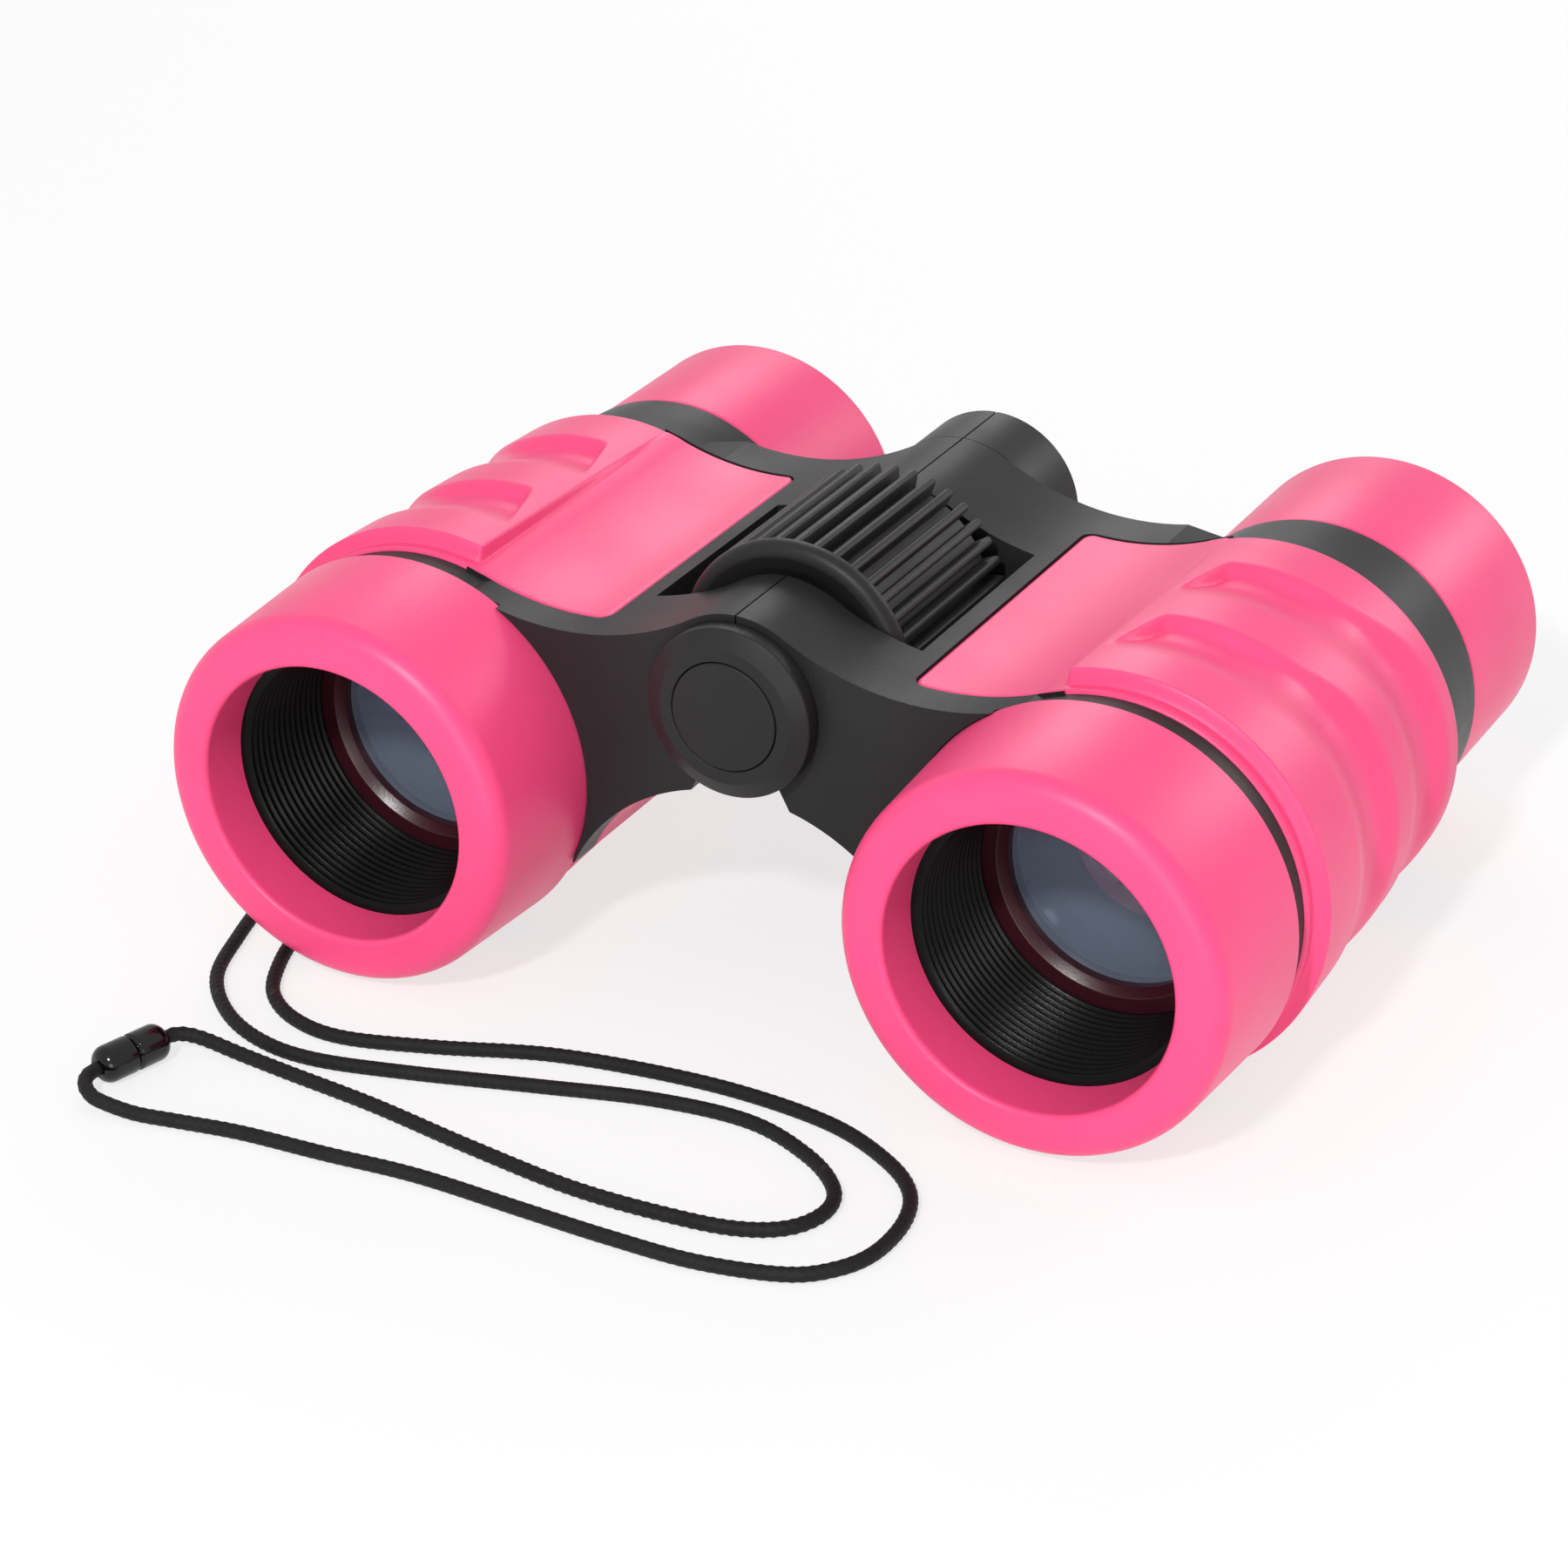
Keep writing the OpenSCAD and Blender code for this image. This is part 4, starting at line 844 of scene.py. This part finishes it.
class ObjectiveOperator(bpy.types.Operator):
    """Soft objective cups, ridged baffles, lens rings and lenses"""

    bl_idname = "binoculars.objectives"
    bl_label = "Objectives"

    # Millimetres: radii about the barrel's axis, and places behind the rim
    mouth_r, cup_front_r, cup_rear_r, seat_r = 15.4, 20.5, 21.3, 16.4
    cup_back, baffle_front, baffle_back = 17.0, 6.5, 20.6
    ridge_count, groove_r, crest_r, baffle_r = 14, 15.0, 14.32, 16.38
    ring_r, ring_lip, ring_bore = 14.58, 12.9, 12.0
    ring_front, ring_slope, ring_back = 20.62, 21.5, 22.48
    lens_r, lens_clear, lens_rise, lens_front, lens_back = 14.55, 11.9, 1.3, 22.5, 25.5

    def execute(self, context):
        for label, side in SIDES:
            put = about_barrel(side)
            body = label + "_half"
            piece("cup_" + label, *turned(self.cup(), put, 192), pink_rubber(), "pink_rubber", body,
                  label + "_objective_cup")
            piece("baffle_" + label, *turned(self.baffle(), put, 160), black_plastic(), "black_plastic", body,
                  label + "_baffle_tube", sharp=50.0)
            piece("ring_" + label, *turned(self.ring(), put, 160), maroon_plastic(), "maroon_plastic", body,
                  label + "_lens_ring")
            piece("lens_" + label, *turned_plug(self.lens(), put, 160), lens_glass(), "lens", body,
                  label + "_objective_lens")
        return {"FINISHED"}

    def cup(self):
        """The cup's lip, its outer side and the seat on the barrel."""
        return rounded(((self.mouth_r, 0.0, 0.7), (self.cup_front_r, 0.0, sizes().cup_rim / MM),
                        (self.cup_rear_r, self.cup_back, 0.35), (self.seat_r, self.cup_back, 0.0),
                        (self.seat_r, self.baffle_front, 0.0), (self.mouth_r, self.baffle_front, 0.0)),
                       steps=10)

    def baffle(self):
        """A tube with a row of narrow ridges inside."""
        pitch = (self.baffle_back - self.baffle_front) / self.ridge_count
        ridges = []
        for k in range(self.ridge_count):
            y = self.baffle_front + k * pitch
            ridges += [(self.groove_r, y + 0.06, 0.0), (self.crest_r, y + pitch * 0.42, 0.08),
                       (self.crest_r, y + pitch * 0.58, 0.08), (self.groove_r, y + pitch - 0.06, 0.0)]
        return rounded(((self.baffle_r, self.baffle_front, 0.0), *ridges,
                        (self.baffle_r, self.baffle_back, 0.0)), steps=2)

    def ring(self):
        """The lens ring, with a slope towards its bore."""
        return rounded(((self.ring_r, self.ring_front, 0.0), (self.ring_lip, self.ring_front, 0.15),
                        (self.ring_bore, self.ring_slope, 0.2), (self.ring_bore, self.ring_back, 0.0),
                        (self.ring_r, self.ring_back, 0.0)))

    def lens(self):
        """A bulging lens from its front pole to its rear pole."""
        clear, rise, front, back = self.lens_clear, self.lens_rise, self.lens_front, self.lens_back
        ball = (clear * clear + rise * rise) / (2.0 * rise)
        front_face = [(clear * t, front - rise + ball - math.sqrt(ball * ball - (clear * t) ** 2))
                      for t in np.linspace(0.0, 1.0, 17)]
        rear_face = [(r, front + back - y) for r, y in reversed(front_face)]
        return front_face + [(self.lens_r, front), (self.lens_r, back)] + rear_face


class EyepieceOperator(bpy.types.Operator):
    """Soft eyecups and the finish of the ocular tubes, rings and lenses"""

    bl_idname = "binoculars.eyepieces"
    bl_label = "Eyepieces"

    # Millimetres: radii about the barrel's axis, and places behind the rim
    tube_r, cup_r, mouth_r, step_r = 15.02, 17.8, 14.2, 13.4
    cup_front, step_y, cup_back = 74.2, 88.2, 95.0

    def execute(self, context):
        cup = rounded(((self.tube_r, self.cup_front, 0.0), (self.cup_r, self.cup_front, 0.6),
                       (self.cup_r, self.cup_back, 1.3), (self.mouth_r, self.cup_back, 0.9),
                       (self.step_r, self.step_y, 0.0), (self.tube_r, self.step_y, 0.0)), steps=8)
        for label, side in SIDES:
            piece("eyecup_" + label, *turned(cup, about_barrel(side), 176), pink_rubber(), "pink_rubber",
                  label + "_eyepiece", label + "_eyecup")
            dress(label + "_ocular_tube", black_plastic())
            dress(label + "_ocular_ring", black_plastic())
            dress(label + "_ocular_lens", lens_glass())
        return {"FINISHED"}


class WheelOperator(bpy.types.Operator):
    """Ribbed focus wheel with its rounded front flange"""

    bl_idname = "binoculars.wheel"
    bl_label = "Focus Wheel"

    # Millimetres: radii about the hinge axis, and places behind the rim
    hub_r, face_r, slope_r, flange_r = 2.56, 7.95, 11.6, 13.15
    drum_r, hollow_r, spigot_r = 11.35, 9.35, 4.6
    face_y, flange_front, flange_back = 30.0, 27.4, 29.9
    web_y, drum_back, spigot_back = 42.4, 51.0, 66.2

    # A rib's section (across, from the axis), and its ends (place, share that is drawn in)
    rib_foot, rib_draw = 10.9, 0.6
    rib_section = ((-0.54, rib_foot), (-0.50, 12.82), (-0.40, 13.02), (-0.24, 13.10), (0.24, 13.10),
                   (0.40, 13.02), (0.50, 12.82), (0.54, rib_foot))
    rib_ends = ((28.6, 0.0), (51.0, 0.0), (51.28, 0.10), (51.4, 0.30))

    def execute(self, context):
        verts, faces = turned(self.body(), about(HINGE_AXIS), 180)
        count = sizes().rib_count
        for k in range(count):
            self.rib(verts, faces, 2.0 * math.pi * k / count)
        piece("focus_knob", verts, faces, charcoal_plastic(), "charcoal_plastic", "wheel", "focus_wheel",
              sharp=40.0)
        return {"FINISHED"}

    def body(self):
        """Flange, drum and threaded spigot as one outline."""
        return rounded((
            (self.hub_r, self.face_y, 0.0), (self.face_r, self.face_y, 0.5),
            (self.slope_r, self.flange_front, 0.5), (self.flange_r, self.flange_front, 1.2),
            (self.flange_r, self.flange_back, 1.2), (self.drum_r, self.flange_back, 0.2),
            (self.drum_r, self.drum_back, 0.25), (self.hollow_r, self.drum_back, 0.2),
            (self.hollow_r, self.web_y, 0.3), (self.spigot_r, self.web_y, 0.3),
            (self.spigot_r, self.spigot_back, 0.3), (self.hub_r, self.spigot_back, 0.0)))

    def rib(self, verts, faces, turn):
        """Adds one rib, drawn in at its rear end, at an angle about the hinge axis."""
        start, n, last = len(verts), len(self.rib_section), len(self.rib_ends) - 1
        for y, draw in self.rib_ends:
            for w, h in self.rib_section:
                w = w * (1.0 - draw)
                h = h - draw * self.rib_draw if h > self.rib_foot else h
                verts.append(((w * math.cos(turn) + h * math.sin(turn)) * MM, RIM_Y + y * MM,
                              HINGE_Z + (h * math.cos(turn) - w * math.sin(turn)) * MM))
        for i in range(last):
            a, b = start + i * n, start + (i + 1) * n
            for j in range(n):
                m = (j + 1) % n
                faces.append((a + j, a + m, b + m, b + j))
        faces.append(tuple(start + j for j in range(n)))
        faces.append(tuple(start + last * n + j for j in reversed(range(n))))


class HingeOperator(bpy.types.Operator):
    """Caps on the hinge, and the finish of the pin and the screw"""

    bl_idname = "binoculars.hinge"
    bl_label = "Hinge Caps"

    # Millimetres: radii about the hinge axis, and places behind the rim
    cap_r, spigot_r, bore_r, pocket_r, disc_r = 9.3, 6.2, 3.85, 6.0, 5.88
    front_face, pocket_floor, front_seat, front_spigot = 13.0, 14.02, 15.7, 18.18
    disc_face, disc_back = 12.9, 14.0
    rear_spigot, rear_seat, rear_face = 74.4, 76.3, 77.9

    def execute(self, context):
        put = about(HINGE_AXIS)
        cap = rounded(((self.bore_r, self.pocket_floor, 0.0), (self.pocket_r, self.pocket_floor, 0.0),
                       (self.pocket_r, self.front_face, 0.12), (7.4, self.front_face, 0.35),
                       (self.cap_r, 13.95, 0.3), (self.cap_r, self.front_seat, 0.15),
                       (self.spigot_r, self.front_seat, 0.0), (self.spigot_r, self.front_spigot, 0.2),
                       (self.bore_r, self.front_spigot, 0.0)))
        disc = rounded(((0.0, self.disc_face, 0.0), (self.disc_r, self.disc_face, 0.18),
                        (self.disc_r, self.disc_back, 0.0), (0.0, self.disc_back, 0.0)))
        rear = rounded(((0.0, self.rear_spigot, 0.0), (self.spigot_r, self.rear_spigot, 0.0),
                        (self.spigot_r, self.rear_seat, 0.0), (self.cap_r, self.rear_seat, 0.1),
                        (self.cap_r, 77.1, 0.25), (7.7, self.rear_face, 0.4), (0.0, self.rear_face, 0.0)))
        for name, shape, node in (("cap_front", turned(cap, put, 128), "hinge_front_cap"),
                                  ("cap_disc", turned_plug(disc, put, 128), "front_cap_disc"),
                                  ("cap_rear", turned_plug(rear, put, 128), "hinge_rear_cap")):
            piece(name, *shape, charcoal_plastic(), "charcoal_plastic", "left_half", node, sharp=30.0)
        dress("hinge_pin", steel())
        dress("hinge_screw", steel())
        return {"FINISHED"}


class CasingOperator(bpy.types.Operator):
    """Finish of the casing halves, covers, lug and inner drive"""

    bl_idname = "binoculars.casing"
    bl_label = "Casing"

    def execute(self, context):
        for label, _ in SIDES:
            for part in ("chassis", "rear_cover", "bottom_cover"):
                dress(label + "_" + part, charcoal_plastic())
            dress(label + "_focus_arm", black_plastic())
        dress("strap_lug", charcoal_plastic())
        dress("focus_carriage", black_plastic())
        return {"FINISHED"}


class BinocularPanel(bpy.types.Panel):
    """Lists the steps that build the binoculars"""

    bl_idname = "VIEW3D_PT_binoculars"
    bl_label = "Toy Binoculars"
    bl_space_type = "VIEW_3D"
    bl_region_type = "UI"
    bl_category = "Binoculars"

    def draw(self, context):
        layout = self.layout
        for group in (context.scene.binocular_sizes, context.scene.binocular_finish):
            for name in group.__annotations__:
                layout.prop(group, name)
        for step in STEPS:
            layout.operator(step.bl_idname)


STEPS = (StageOperator, CordOperator, GripOperator, ObjectiveOperator, EyepieceOperator, WheelOperator,
         HingeOperator, CasingOperator)
CLASSES = (BinocularSizes, BinocularFinish, *STEPS, BinocularPanel)


def register():
    for made in CLASSES:
        bpy.utils.register_class(made)
    bpy.types.Scene.binocular_sizes = bpy.props.PointerProperty(type=BinocularSizes)
    bpy.types.Scene.binocular_finish = bpy.props.PointerProperty(type=BinocularFinish)


def unregister():
    del bpy.types.Scene.binocular_finish
    del bpy.types.Scene.binocular_sizes
    for made in reversed(CLASSES):
        bpy.utils.unregister_class(made)


def main():
    register()
    bpy.ops.binoculars.stage()
    bpy.ops.binoculars.cord()
    bpy.ops.binoculars.grips()
    bpy.ops.binoculars.objectives()
    bpy.ops.binoculars.eyepieces()
    bpy.ops.binoculars.wheel()
    bpy.ops.binoculars.hinge()
    bpy.ops.binoculars.casing()


if __name__ == "__main__":
    main()
